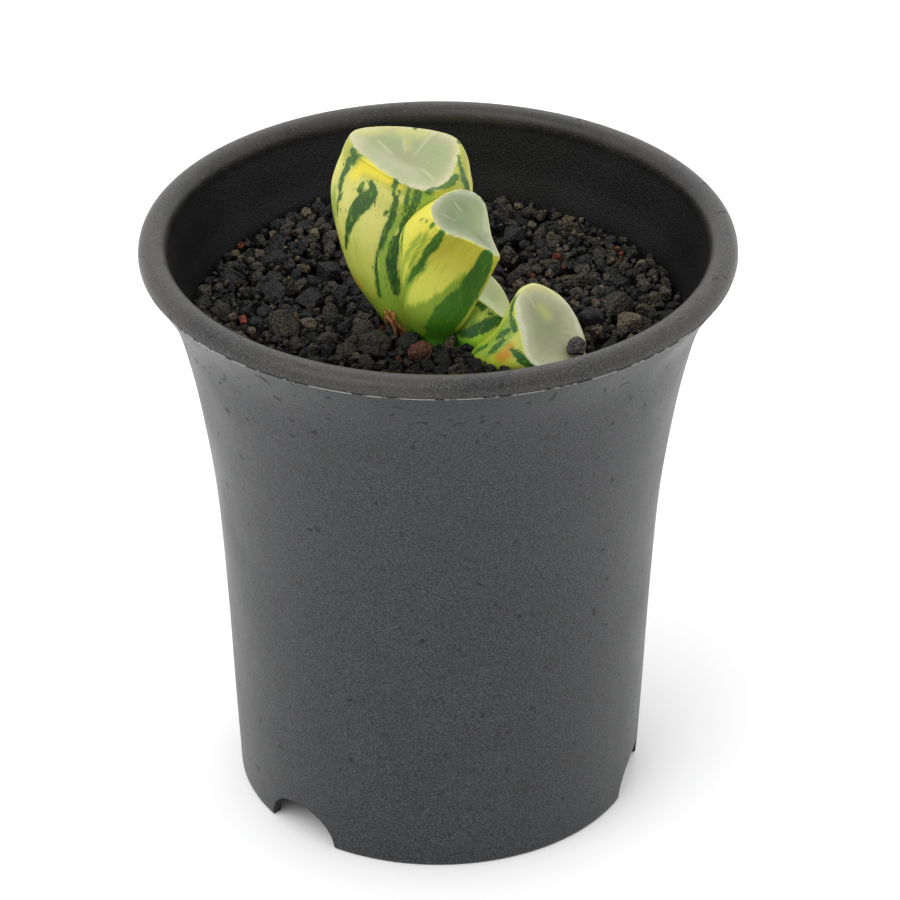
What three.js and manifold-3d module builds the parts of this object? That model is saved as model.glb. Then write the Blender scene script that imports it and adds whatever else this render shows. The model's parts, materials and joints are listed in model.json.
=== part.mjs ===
// A small variegated window-leaf haworthia, standing in black lava grit in a deep, flared plastic pot.
// Millimetres, +Z up. The origin is the centre of the foot ring, on the surface that the pot stands on.
// Azimuths are measured from +X towards +Y, and the side that faces -Y is the front.
import * as THREE from "three";
import { mergeVertices } from "three/addons/utils/BufferGeometryUtils.js";
import Module from "manifold-3d";

// Pot: a 75 mm thin-walled moulding with a rolled lip, a raised floor and an arched foot ring
const RIM_RADIUS = 37.5;
const POT_HEIGHT = 78.2;
const LIP_HEIGHT = 2.1;
const LIP_WIDTH = 3.6;
// How nearly square the lip's section is: 1 is half an ellipse, and 0 is a rectangle
const LIP_ROUNDNESS = 0.85;
// Height of the shadow line under the lip
const CREASE = 0.2;
// Height from which the wall thickens inside, so that it meets the lip's inner edge with no ledge
const THICKENS_FROM = 70;
const WALL = 1.4;
const FLOOR_UNDERSIDE = 6.2;
const FLOOR_TOP = 7.6;
const FOOT_BEVEL = 0.3;
const POT_SIDES = 48;
// Radius and height up the outside, from the foot to the crease under the lip
const OUTSIDE = [
  [26.1, 0],
  [26.7, 11.4],
  [27.4, 26.6],
  [28.4, 41.9],
  [29.9, 53.3],
  [31.6, 62.4],
  [33.8, 70],
  [37.4, POT_HEIGHT - LIP_HEIGHT],
];
const OUTSIDE_STEPS = 9;
const LIP_STEPS = 6;

// Foot arches: three, cut through the foot ring
const ARCH_AZIMUTHS = [106.5, 226.5, 346.5];
const ARCH_HALF_WIDTH = 5.6;
const ARCH_HEIGHT = 4.9;
const ARCH_SIDES = 20;

// Drain holes: one in the middle and a ring of six
const DRAIN_RADIUS = 2;
const DRAIN_RING_RADIUS = 13;
const DRAIN_COUNT = 6;
const DRAIN_SIDES = 16;

// Clearance between pieces that touch
const GAP = 0.3;

// Grit: a filled body with a low mound at the back left, and grains that stand out all over its top
const GRIT_LEVEL = 65.8;
const GRIT_SIDES = 32;
const MOUND_CENTRE = [-9, 22];
const MOUND_HEIGHT = 2.6;
const MOUND_RADIUS = 11;
const GRAIN_SPACING = 3.6;
const GRAIN_RADII = [1.7, 2.6];
const GRAIN_HEIGHTS = [1.1, 2.3];
const GRAIN_SEED = 20;
// Edge of the facets that the grains are made of, and how far a corner is shifted, as a share of it
const FACET = 1.6;
const FACET_SHIFT = 0.35;

// Pebbles: those that are larger, or of another colour, each with a radius and the share it is flattened to
const PEBBLE_CORNERS = [0.78, 1.18];
const PEBBLES = {
  pebble_grey: { at: [-7.9, -8.6, 67.1], radius: 2.7, flat: 0.8 },
  pebble_red: { at: [-2.2, -10.2, 66.9], radius: 1.9, flat: 0.9 },
  pebble_side: { at: [17.2, -11.4, 68.5], radius: 1.6, flat: 0.75 },
};

// Stem: a short buried crown, with fleshy roots that spread through the grit
const CROWN_AT = [-0.2, -4.6];
const CROWN_PROFILE = [
  [0, 54],
  [1.6, 54.6],
  [2.6, 57.5],
  [4.6, 59.6],
  [4.9, 61],
  [4.2, 61.6],
  [0, 61.6],
];
const CROWN_SIDES = 16;
const ROOT_RADIUS = 0.9;
const ROOT_SIDES = 6;
const ROOT_STEPS = 6;
// Reach from the crown and depth of each root's tip
const ROOT_TIPS = [[13, 24], [9, 16], [15, 30], [11, 20], [17, 27], [8, 13]];

const wasm = await Module();
wasm.setup();

const material = (color, roughness) =>
  new THREE.MeshStandardMaterial({ color, roughness, metalness: 0 });
const potPlastic = material(0x4a4b4b, 0.62);
const lavaGrit = material(0x2b2a28, 0.95);
const greyGrit = material(0x4c4943, 0.95);
const redLava = material(0x6b3426, 0.95);
const leafSkin = material(0xb9bd55, 0.4);
const stemSkin = material(0xcdbf8f, 0.7);
const drySheath = material(0xb98a52, 0.85);

// A closed geometry as a solid that can be joined and cut
function solidOf(geometry) {
  const bare = geometry.index ? geometry.toNonIndexed() : geometry.clone();
  const corners = new THREE.BufferGeometry();
  corners.setAttribute("position", bare.getAttribute("position"));
  const merged = mergeVertices(corners, 1e-4);
  const triVerts = new Uint32Array(merged.index.array);
  const made = () =>
    new wasm.Manifold(
      new wasm.Mesh({ numProp: 3, vertProperties: merged.attributes.position.array, triVerts }),
    );
  const solid = made();
  if (solid.volume() > 0) return solid;
  for (let i = 0; i < triVerts.length; i += 3) {
    [triVerts[i + 1], triVerts[i + 2]] = [triVerts[i + 2], triVerts[i + 1]];
  }
  return made();
}

// The largest body of a solid, so that a scrap left by a cut is dropped
function largest(solid) {
  return solid.decompose().reduce((a, b) => (a.volume() > b.volume() ? a : b));
}

function meshOf(name, solid, surface) {
  const { vertProperties, triVerts } = solid.getMesh();
  const geometry = new THREE.BufferGeometry();
  geometry.setAttribute("position", new THREE.BufferAttribute(new Float32Array(vertProperties), 3));
  geometry.setIndex(new THREE.BufferAttribute(new Uint32Array(triVerts), 1));
  geometry.computeVertexNormals();
  const mesh = new THREE.Mesh(geometry, surface);
  mesh.name = name;
  return mesh;
}

// A seeded random number from 0 to 1
function randomFrom(seed) {
  let state = seed;
  return () => {
    state = (state + 0x6d2b79f5) | 0;
    let t = Math.imul(state ^ (state >>> 15), 1 | state);
    t = (t + Math.imul(t ^ (t >>> 7), 61 | t)) ^ t;
    return ((t ^ (t >>> 14)) >>> 0) / 4294967296;
  };
}

// Pot
const outsideCurve = new THREE.SplineCurve(OUTSIDE.map(([r, z]) => new THREE.Vector2(r, z)));
const outsidePoints = outsideCurve.getPoints(OUTSIDE_STEPS * 4);

function outsideRadius(z) {
  const i = Math.max(1, outsidePoints.findIndex((p) => p.y >= z));
  const [low, high] = [outsidePoints[i - 1], outsidePoints[i]];
  return THREE.MathUtils.mapLinear(z, low.y, high.y, low.x, high.x);
}

function insideRadius(z) {
  const rise = (z - THICKENS_FROM) / (POT_HEIGHT - LIP_HEIGHT - THICKENS_FROM);
  if (rise <= 0) return outsideRadius(z) - WALL;
  return THREE.MathUtils.lerp(outsideRadius(THICKENS_FROM) - WALL, RIM_RADIUS - LIP_WIDTH, rise);
}

// A profile of [radius, height] points turned about the Z axis
function turned(profile, sides) {
  const points = profile.map(([r, z]) => new THREE.Vector2(r, z));
  const geometry = new THREE.LatheGeometry(points, sides);
  geometry.rotateX(Math.PI / 2);
  return geometry;
}

// A round rod along Z, from low to high
function rod(radius, low, high, x, y, sides) {
  const geometry = new THREE.CylinderGeometry(radius, radius, high - low, sides);
  geometry.rotateX(Math.PI / 2);
  geometry.translate(x, y, (low + high) / 2);
  return solidOf(geometry);
}

function makePot() {
  const lipBase = POT_HEIGHT - LIP_HEIGHT;
  const outside = [];
  for (let i = 1; i <= OUTSIDE_STEPS; i++) {
    const z = (lipBase * i) / OUTSIDE_STEPS;
    outside.push([outsideRadius(z), z]);
  }
  const lip = [];
  const squared = (value) => Math.sign(value) * Math.abs(value) ** LIP_ROUNDNESS;
  for (let i = 0; i < LIP_STEPS; i++) {
    const turn = (Math.PI * i) / LIP_STEPS;
    lip.push([
      RIM_RADIUS - LIP_WIDTH / 2 + (LIP_WIDTH / 2) * squared(Math.cos(turn)),
      lipBase + CREASE + (LIP_HEIGHT - CREASE) * squared(Math.sin(turn)),
    ]);
  }
  const inside = [];
  const insideSteps = OUTSIDE_STEPS - 2;
  for (let i = insideSteps; i >= 0; i--) {
    const z = THREE.MathUtils.lerp(FLOOR_TOP, lipBase, i / insideSteps);
    inside.push([insideRadius(z), z]);
  }
  const foot = outsideRadius(0);
  const profile = [
    [0, FLOOR_UNDERSIDE],
    [foot - WALL, FLOOR_UNDERSIDE],
    [foot - WALL, 0],
    [foot - FOOT_BEVEL, 0],
    [foot, FOOT_BEVEL],
    ...outside,
    ...lip,
    ...inside,
    [0, FLOOR_TOP],
  ];
  let pot = solidOf(turned(profile, POT_SIDES));
  for (const azimuth of ARCH_AZIMUTHS) {
    const arch = new THREE.CylinderGeometry(1, 1, foot, ARCH_SIDES);
    arch.rotateZ(Math.PI / 2);
    arch.scale(1, ARCH_HALF_WIDTH, ARCH_HEIGHT);
    arch.translate(foot, 0, 0);
    arch.rotateZ(THREE.MathUtils.degToRad(azimuth));
    pot = pot.subtract(solidOf(arch));
  }
  for (let i = 0; i <= DRAIN_COUNT; i++) {
    const reach = i < DRAIN_COUNT ? DRAIN_RING_RADIUS : 0;
    const turn = (2 * Math.PI * i) / DRAIN_COUNT;
    const [x, y] = [reach * Math.cos(turn), reach * Math.sin(turn)];
    pot = pot.subtract(rod(DRAIN_RADIUS, FLOOR_UNDERSIDE - 1, FLOOR_TOP + 1, x, y, DRAIN_SIDES));
  }
  return pot;
}

// Leaves: a fan of four, each lofted from a thin buried base to a blunt translucent end. A section is
// measured on its chord, which runs from the far margin to the near one, across the fan. outline is the
// end's outline, as [along the chord, inwards] in its own plane. A station is
// [x, y, z of the chord's middle, half chord, outer depth, inner depth]. The last station takes its sizes
// from the outline. faces are the ways that the base and the end face. The chord lies at FAN_AZIMUTH, but
// for a leaf with an azimuth of its own.
const FAN_AZIMUTH = -54;
const LEAVES = {
  leaf_tall: {
    azimuth: -12,
    outline: [
      [7.2, -0.6],
      [6.8, 2.9],
      [4.9, 4.6],
      [0.4, 4.9],
      [-4.4, 4.2],
      [-7.3, 2.8],
      [-7.1, 0.1],
      [-3.4, -2.2],
      [0.8, -4.1],
      [4.4, -4.5],
      [6.5, -3],
    ],
    stations: [
      [-3.4, -2.6, 62, 1.8, 1, 1],
      [-4.3, -2.3, 66.5, 2.5, 1.6, 1.6],
      [-5.2, -1.3, 68.9, 3.6, 2.2, 2.4],
      [-5.9, 0, 71.9, 5.2, 3, 3.2],
      [-5.5, 1.9, 76.2, 7.3, 3.9, 4.4],
      [-4.6, 3.7, 81.3, 9.2, 4.6, 5.4],
      [-4.1, 4, 84.9, 8.5, 5, 5.4],
      [-4.1, 4, 86.6],
    ],
    faces: [[0, 0, 1], [0, -0.45, 0.9]],
    dish: 0.8,
  },
  leaf_front: {
    outline: [
      [5.4, 0.5],
      [2.2, 1.3],
      [-2.6, 3.2],
      [-5.1, 1.8],
      [-5.4, -1.4],
      [-4, -4.2],
      [-0.8, -4.5],
      [1.6, -2.2],
      [3.6, -0.7],
    ],
    stations: [
      [-0.8, -4.3, 62, 2.2, 1.6, 1.2],
      [-0.6, -4.2, 66.5, 3, 2.6, 1.6],
      [-0.4, -3.7, 68, 3.8, 3.7, 2],
      [0.4, -3.4, 71.1, 5.1, 5.3, 2.8],
      [1.4, -3, 76.6, 6.8, 5.8, 3.2],
      [4.4, -5.8, 82.4],
    ],
    faces: [[0, 0, 1], [0.28, -0.42, 0.86]],
    dish: 0.6,
  },
  leaf_small: {
    outline: [
      [4, 0.8],
      [2.2, 1.9],
      [-1.3, 2],
      [-4, 0.6],
      [-3.8, -1.8],
      [-1.3, -2.4],
      [1.4, -0.8],
    ],
    stations: [
      [2, -5.4, 62, 1.4, 0.9, 0.6],
      [2.9, -5.6, 65.4, 2.2, 1.3, 1],
      [4.5, -5.4, 68.2, 3.2, 1.9, 1.5],
      [6.7, -4.6, 71.3],
    ],
    faces: [[0.3, 0, 0.95], [0.4, -0.5, 0.75]],
    dish: 0.2,
  },
  leaf_low: {
    outline: [
      [6, -0.2],
      [4.8, 3.6],
      [1, 4.6],
      [-3.2, 3.7],
      [-6, 0.4],
      [-4.8, -3],
      [-1, -4.2],
      [3.8, -4.6],
    ],
    stations: [
      [3.8, -7.4, 62.4, 1.4, 1, 0.8],
      [5.6, -9.6, 65.4, 2.2, 1.7, 1.4],
      [9.2, -10.6, 67.4, 3.6, 3, 2.6],
      [13.6, -10, 70.3],
    ],
    faces: [[0.7, -0.2, 0.7], [0.45, -0.55, 0.7]],
    dish: 0.2,
  },
  dry_sheath: {
    outline: [
      [1.5, 0.2],
      [0.2, 0.5],
      [-1.4, 0.2],
      [-1.1, -0.3],
      [0.6, -0.4],
    ],
    stations: [
      [-3.6, -4.3, 63.5, 1.6, 0.5, 0.3],
      [-4.8, -4, 66.6, 1.9, 0.5, 0.2],
      [-6.5, -3.2, 70],
    ],
    faces: [[-0.3, 0, 0.95], [-0.5, 0.2, 0.8]],
    dish: 0,
  },
};
const LEAF_STEPS_PER_POINT = 2;
const LEAF_ALONG = 10;
// Share of the leaf's length from which its section turns from a keen-edged lens into the outline
const LENS_SHARE = 0.6;
const KEENNESS = 0.35;
// Blunt end: the shrink and rise of each ring inside the outline, before the dish
const END_RINGS = [
  [0.95, 0.25],
  [0.85, 0.3],
  [0.45, 0.1],
];

const vector = (xyz) => new THREE.Vector3(...xyz);
const smoothCurve = (points, closed = false) =>
  new THREE.CatmullRomCurve3(points, closed, "catmullrom", 0.5);

// A leaf as a solid. grow moves its whole surface outwards.
function makeLeaf(leaf, grow = 0) {
  const outline = smoothCurve(leaf.outline.map(([x, y]) => vector([x, y, 0])), true);
  const around = leaf.outline.length * LEAF_STEPS_PER_POINT;
  const section = outline.getPoints(around).slice(0, around);
  const endWidth = Math.max(...section.map((p) => Math.abs(p.x)));
  const endDepths = [-Math.min(...section.map((p) => p.y)), Math.max(...section.map((p) => p.y))];
  const rows = leaf.stations;
  const places = smoothCurve(rows.map((row) => vector(row.slice(0, 3))));
  const sizes = smoothCurve(
    rows.map((row) => vector(row.length > 3 ? row.slice(3) : [endWidth, ...endDepths])),
  );
  const [lowFace, endFace] = leaf.faces.map((face) => vector(face).normalize());
  const azimuth = THREE.MathUtils.degToRad(leaf.azimuth ?? FAN_AZIMUTH);
  const rings = [];
  const addRing = (share, shrink, rise) => {
    const face = lowFace.clone().lerp(endFace, THREE.MathUtils.smoothstep(share, 0, 1)).normalize();
    const chord = vector([Math.cos(azimuth), Math.sin(azimuth), 0]);
    chord.addScaledVector(face, -chord.dot(face)).normalize();
    const inwards = face.clone().cross(chord);
    const centre = places.getPoint(share).addScaledVector(face, rise);
    const { x: width, y: outer, z: inner } = sizes.getPoint(share);
    const cut = THREE.MathUtils.smoothstep(share, LENS_SHARE, 1);
    const ring = section.map(({ x, y }) => {
      const depth = y < 0 ? outer : inner;
      const [p, q] = [x / endWidth, y / endDepths[y < 0 ? 0 : 1]];
      const turn = Math.atan2(q, p);
      const lens = Math.sin(turn) * Math.abs(Math.sin(turn)) ** KEENNESS;
      const across = THREE.MathUtils.lerp(Math.cos(turn), p, cut) * (width + grow);
      const through = THREE.MathUtils.lerp(lens, q, cut) * (depth + grow);
      return centre
        .clone()
        .addScaledVector(chord, across * shrink)
        .addScaledVector(inwards, through * shrink);
    });
    rings.push({ ring, centre });
  };
  for (let i = 0; i <= LEAF_ALONG; i++) {
    const ends = i === 0 ? -grow : i === LEAF_ALONG ? grow : 0;
    addRing(i / LEAF_ALONG, 1, ends);
  }
  for (const [shrink, rise] of END_RINGS) {
    addRing(1, shrink, grow + rise - leaf.dish * (1 - shrink));
  }
  addRing(1, 0, grow - leaf.dish);
  const triangles = [];
  const tail = rings[0];
  const tip = rings.pop().centre;
  const tailMiddle = tail.ring.reduce((sum, p) => sum.add(p), vector([0, 0, 0]));
  tailMiddle.divideScalar(around);
  for (let j = 0; j < around; j++) {
    const k = (j + 1) % around;
    for (let i = 0; i + 1 < rings.length; i++) {
      const [low, high] = [rings[i].ring, rings[i + 1].ring];
      triangles.push(low[j], low[k], high[k], low[j], high[k], high[j]);
    }
    const top = rings.at(-1).ring;
    triangles.push(top[j], top[k], tip, tail.ring[k], tail.ring[j], tailMiddle);
  }
  return solidOf(new THREE.BufferGeometry().setFromPoints(triangles));
}

// Crown and roots. grow moves the whole surface outwards.
function makeStem(grow = 0) {
  const profile = CROWN_PROFILE.map(([r, z], i) => {
    const end = i === 0 ? -grow : i > 4 ? grow : 0;
    return [r === 0 ? 0 : r + grow, z + end];
  });
  const crown = turned(profile, CROWN_SIDES);
  crown.translate(...CROWN_AT, 0);
  let stem = solidOf(crown);
  const ringOf = new THREE.Shape();
  ringOf.absarc(0, 0, ROOT_RADIUS + grow, 0, 2 * Math.PI);
  ROOT_TIPS.forEach(([reach, depth], i) => {
    const turn = (2 * Math.PI * i) / ROOT_TIPS.length;
    const [dx, dy] = [Math.cos(turn), Math.sin(turn)];
    const along = (out, z) => vector([CROWN_AT[0] + out * dx, CROWN_AT[1] + out * dy, z]);
    const tip = CROWN_PROFILE[0][1] - depth;
    const path = new THREE.CatmullRomCurve3([
      along(0.8, 57.5),
      along(3.6, 56.6),
      along(reach * 0.7, 56 - depth * 0.3),
      along(reach, 55 - depth * 0.7),
      along(reach * 1.02, tip - grow),
    ]);
    const root = new THREE.ExtrudeGeometry(ringOf, {
      steps: ROOT_STEPS,
      curveSegments: ROOT_SIDES / 2,
      bevelEnabled: false,
      extrudePath: path,
    });
    stem = stem.add(solidOf(root));
  });
  return stem;
}

// An angular lump: a sphere's few corners pushed in and out by chance
function lump([x, y, z], radius, flat, random) {
  const geometry = new THREE.IcosahedronGeometry(radius);
  geometry.deleteAttribute("normal");
  geometry.deleteAttribute("uv");
  const corners = mergeVertices(geometry);
  const points = corners.attributes.position;
  for (let i = 0; i < points.count; i++) {
    const point = new THREE.Vector3().fromBufferAttribute(points, i);
    point.multiplyScalar(THREE.MathUtils.lerp(...PEBBLE_CORNERS, random()));
    points.setXYZ(i, ...point);
  }
  corners.rotateX(2 * Math.PI * random());
  corners.scale(1, 0.8 + 0.2 * random(), flat);
  corners.rotateZ(2 * Math.PI * random());
  corners.translate(x, y, z);
  return corners;
}

function gritHeight(x, y) {
  const away = Math.hypot(x - MOUND_CENTRE[0], y - MOUND_CENTRE[1]) / MOUND_RADIUS;
  return GRIT_LEVEL + MOUND_HEIGHT * Math.exp(-away * away);
}

// The rounded tops of the grains, each with a place, a radius and a height drawn by chance
function grainsWithin(reach) {
  const random = randomFrom(GRAIN_SEED);
  const grains = [];
  for (let out = 0; out < reach; out += GRAIN_SPACING) {
    const count = Math.max(1, Math.round((2 * Math.PI * out) / GRAIN_SPACING));
    for (let i = 0; i < count; i++) {
      const turn = (2 * Math.PI * (i + 0.5 * random())) / count + out;
      const from = out + GRAIN_SPACING * 0.4 * (random() - 0.5);
      grains.push({
        x: from * Math.cos(turn),
        y: from * Math.sin(turn),
        radius: THREE.MathUtils.lerp(...GRAIN_RADII, random()),
        height: THREE.MathUtils.lerp(...GRAIN_HEIGHTS, random()),
      });
    }
  }
  return grains;
}

// The grit, with the sockets of all that is buried in it
function makeGrit(buried) {
  const low = FLOOR_TOP + GAP;
  const high = GRIT_LEVEL + MOUND_HEIGHT + GRAIN_HEIGHTS[1] + 1;
  const wall = [];
  for (let i = 0; i <= OUTSIDE_STEPS; i++) {
    const z = low + ((high - low) * i) / OUTSIDE_STEPS;
    wall.push([insideRadius(z) - GAP, z]);
  }
  const body = solidOf(turned([[0, low], ...wall, [0, high]], GRIT_SIDES));
  const span = 2 * wall.at(-1)[0] + 2 * FACET;
  const facets = Math.round(span / FACET);
  const top = new THREE.BoxGeometry(span, span, 1, facets, facets, 1);
  const points = top.attributes.position;
  const grains = grainsWithin(span / 2);
  for (let i = 0; i < points.count; i++) {
    let [x, y] = [points.getX(i), points.getY(i)];
    const inside = Math.max(Math.abs(x), Math.abs(y)) < span / 2 - 0.5 * FACET;
    if (points.getZ(i) > 0) {
      if (inside) {
        x += FACET_SHIFT * FACET * Math.sin(3.1 * x + 5.3 * y);
        y += FACET_SHIFT * FACET * Math.sin(4.7 * x - 3.7 * y);
      }
      const tops = grains.map((g) => g.height * (1 - Math.hypot(x - g.x, y - g.y) / g.radius));
      points.setXYZ(i, x, y, gritHeight(x, y) + Math.max(0, ...tops));
    } else {
      points.setZ(i, low - 1);
    }
  }
  const grit = body.intersect(solidOf(top));
  return largest(grit.subtract(wasm.Manifold.union(buried)));
}

const group = new THREE.Group();
const place = (name, solid, surface) => group.add(meshOf(name, solid, surface));

place("pot", makePot(), potPlastic);

// Each leaf is cut clear of those in front of it
const leaves = {};
for (const name of ["leaf_front", "leaf_small", "leaf_low", "leaf_tall", "dry_sheath"]) {
  let leaf = makeLeaf(LEAVES[name]);
  for (const earlier of Object.keys(leaves)) {
    leaf = largest(leaf.subtract(makeLeaf(LEAVES[earlier], GAP)));
  }
  leaves[name] = leaf;
  place(name, leaf, name === "dry_sheath" ? drySheath : leafSkin);
}

const grownLeaves = Object.keys(leaves).map((name) => makeLeaf(LEAVES[name], GAP));
place("stem_and_roots", makeStem(), stemSkin);
const buried = [...grownLeaves, makeStem(GAP)];
const pebbleRandom = (name) => randomFrom(GRAIN_SEED + Object.keys(PEBBLES).indexOf(name));
for (const [name, { at, radius, flat }] of Object.entries(PEBBLES)) {
  const pebble = solidOf(lump(at, radius, flat, pebbleRandom(name)));
  place(name, pebble, name === "pebble_red" ? redLava : greyGrit);
  buried.push(solidOf(lump(at, radius + GAP * 1.4, flat, pebbleRandom(name))));
}
place("grit", makeGrit(buried), lavaGrit);

export default group;
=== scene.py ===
# A small variegated window-leaf haworthia in black lava grit, in a deep, flared plastic pot.
# Lengths in the tables are in millimetres and are turned into metres by MM. The origin is the centre of
# the foot ring, on the surface that the pot stands on, and the side that faces -Y is the front.
import json
import math
from functools import partial

import bpy
import numpy as np
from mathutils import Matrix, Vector, noise
from mathutils.bvhtree import BVHTree

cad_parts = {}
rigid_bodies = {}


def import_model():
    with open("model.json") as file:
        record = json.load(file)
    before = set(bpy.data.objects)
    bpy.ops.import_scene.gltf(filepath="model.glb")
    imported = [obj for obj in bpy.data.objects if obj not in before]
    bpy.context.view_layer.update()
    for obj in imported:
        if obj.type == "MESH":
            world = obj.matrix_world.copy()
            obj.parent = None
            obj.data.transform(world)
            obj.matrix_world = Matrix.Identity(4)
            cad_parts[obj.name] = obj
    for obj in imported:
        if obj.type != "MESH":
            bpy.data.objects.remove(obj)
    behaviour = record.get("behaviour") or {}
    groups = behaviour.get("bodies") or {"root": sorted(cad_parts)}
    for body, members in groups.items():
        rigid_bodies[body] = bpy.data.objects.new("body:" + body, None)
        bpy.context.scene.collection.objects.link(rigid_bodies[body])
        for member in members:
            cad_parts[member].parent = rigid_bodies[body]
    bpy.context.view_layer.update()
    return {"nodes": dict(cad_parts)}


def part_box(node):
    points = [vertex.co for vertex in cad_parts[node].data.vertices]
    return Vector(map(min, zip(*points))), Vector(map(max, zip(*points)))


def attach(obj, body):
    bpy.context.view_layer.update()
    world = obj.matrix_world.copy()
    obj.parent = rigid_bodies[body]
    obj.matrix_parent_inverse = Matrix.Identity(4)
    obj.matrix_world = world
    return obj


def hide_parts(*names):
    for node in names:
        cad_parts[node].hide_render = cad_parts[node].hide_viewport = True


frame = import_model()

bl_info = {
    "name": "Potted haworthia",
    "version": (1, 0, 0),
    "blender": (4, 5, 0),
    "location": "3D View > Sidebar > Haworthia",
    "description": "Builds a variegated haworthia in lava grit, in a flared plastic pot",
    "category": "Add Mesh",
}

MM = 0.001

# Points nearer than this many millimetres are one point, on a coarse mesh, a tube and a leaf
COARSE_MERGE = 0.002
TUBE_MERGE = 0.001
LEAF_MERGE = 0.0005


def linear(colour):
    """An sRGB hex colour as linear red, green, blue and alpha."""
    parts = [int(colour[i:i + 2], 16) / 255 for i in (0, 2, 4)]
    return tuple(c / 12.92 if c <= 0.04045 else ((c + 0.055) / 1.055) ** 2.4 for c in parts) + (1.0,)


def colour_setting(name, description, colour):
    """A setting that holds a colour, whose default is an sRGB hex colour."""
    return bpy.props.FloatVectorProperty(
        name=name, description=description, size=4, subtype="COLOR", default=linear(colour), min=0, max=1,
    )


# Pot: CREASE is the height of the shadow line under the lip, and the wall thickens inside from THICKENS_FROM
# upwards. OUTSIDE holds radius and height up the outside, from the foot to that line.
RIM = 37.5
HEIGHT = 78.2
WALL = 1.4
LIP_HEIGHT = 2.1
LIP_WIDTH = 3.6
LIP_ROUNDNESS = 0.85
CREASE = 0.2
THICKENS_FROM = 70
FLOOR_UNDERSIDE = 6.2
FLOOR_TOP = 7.6
FOOT_BEVEL = 0.3
OUTSIDE = [
    (26.1, 0),
    (26.7, 11.4),
    (27.4, 26.6),
    (28.4, 41.9),
    (29.9, 53.3),
    (31.6, 62.4),
    (33.8, 70),
    (37.4, 76.1),
]
ARCH_AZIMUTHS = (106.5, 226.5, 346.5)
ARCH_HALF_WIDTH = 5.6
ARCH_HEIGHT = 4.9
DRAIN_RADIUS = 2
DRAIN_RING_RADIUS = 13
DRAIN_COUNT = 6

# Steps of the pot's section and openings, the cutters' depth, and the angle in degrees of a sharp edge
OUTSIDE_STEPS = 64
LIP_STEPS = 29
INSIDE_STEPS = 56
ARCH_SIDES = 64
DRAIN_SIDES = 48
DRAIN_CUT = 4
POT_CREASE_ANGLE = 35

# Grit: level of the CAD solid's top between its grains, and the low mound at the back left
GRIT_LEVEL = 65.8
MOUND_CENTRE = (-9, 22)
MOUND_HEIGHT = 2.6
MOUND_RADIUS = 11

# Crown: radius and height, from the bottom to the top. Roots: how far each one reaches out and down. They are
# ROOT_SLACK of their radius before they get one skin, and narrow to ROOT_TIP of that. ROOT_SKIN is the width
# of a cell of the skin, which is evened out ROOT_EVENED times.
CROWN_AT = (-0.2, -4.6)
CROWN_PROFILE = [(0, 54), (1.6, 54.6), (2.6, 57.5), (4.6, 59.6), (4.9, 61), (4.2, 61.6), (0, 61.6)]
CROWN_STEPS = 32
ROOT_RADIUS = 0.9
ROOT_SLACK = 0.96
ROOT_TIP = 0.45
ROOT_SIDES = 12
ROOT_SKIN = 0.28
ROOT_EVENED = 3
ROOT_TIPS = [(13, 24), (9, 16), (15, 30), (11, 20), (17, 27), (8, 13)]

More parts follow.
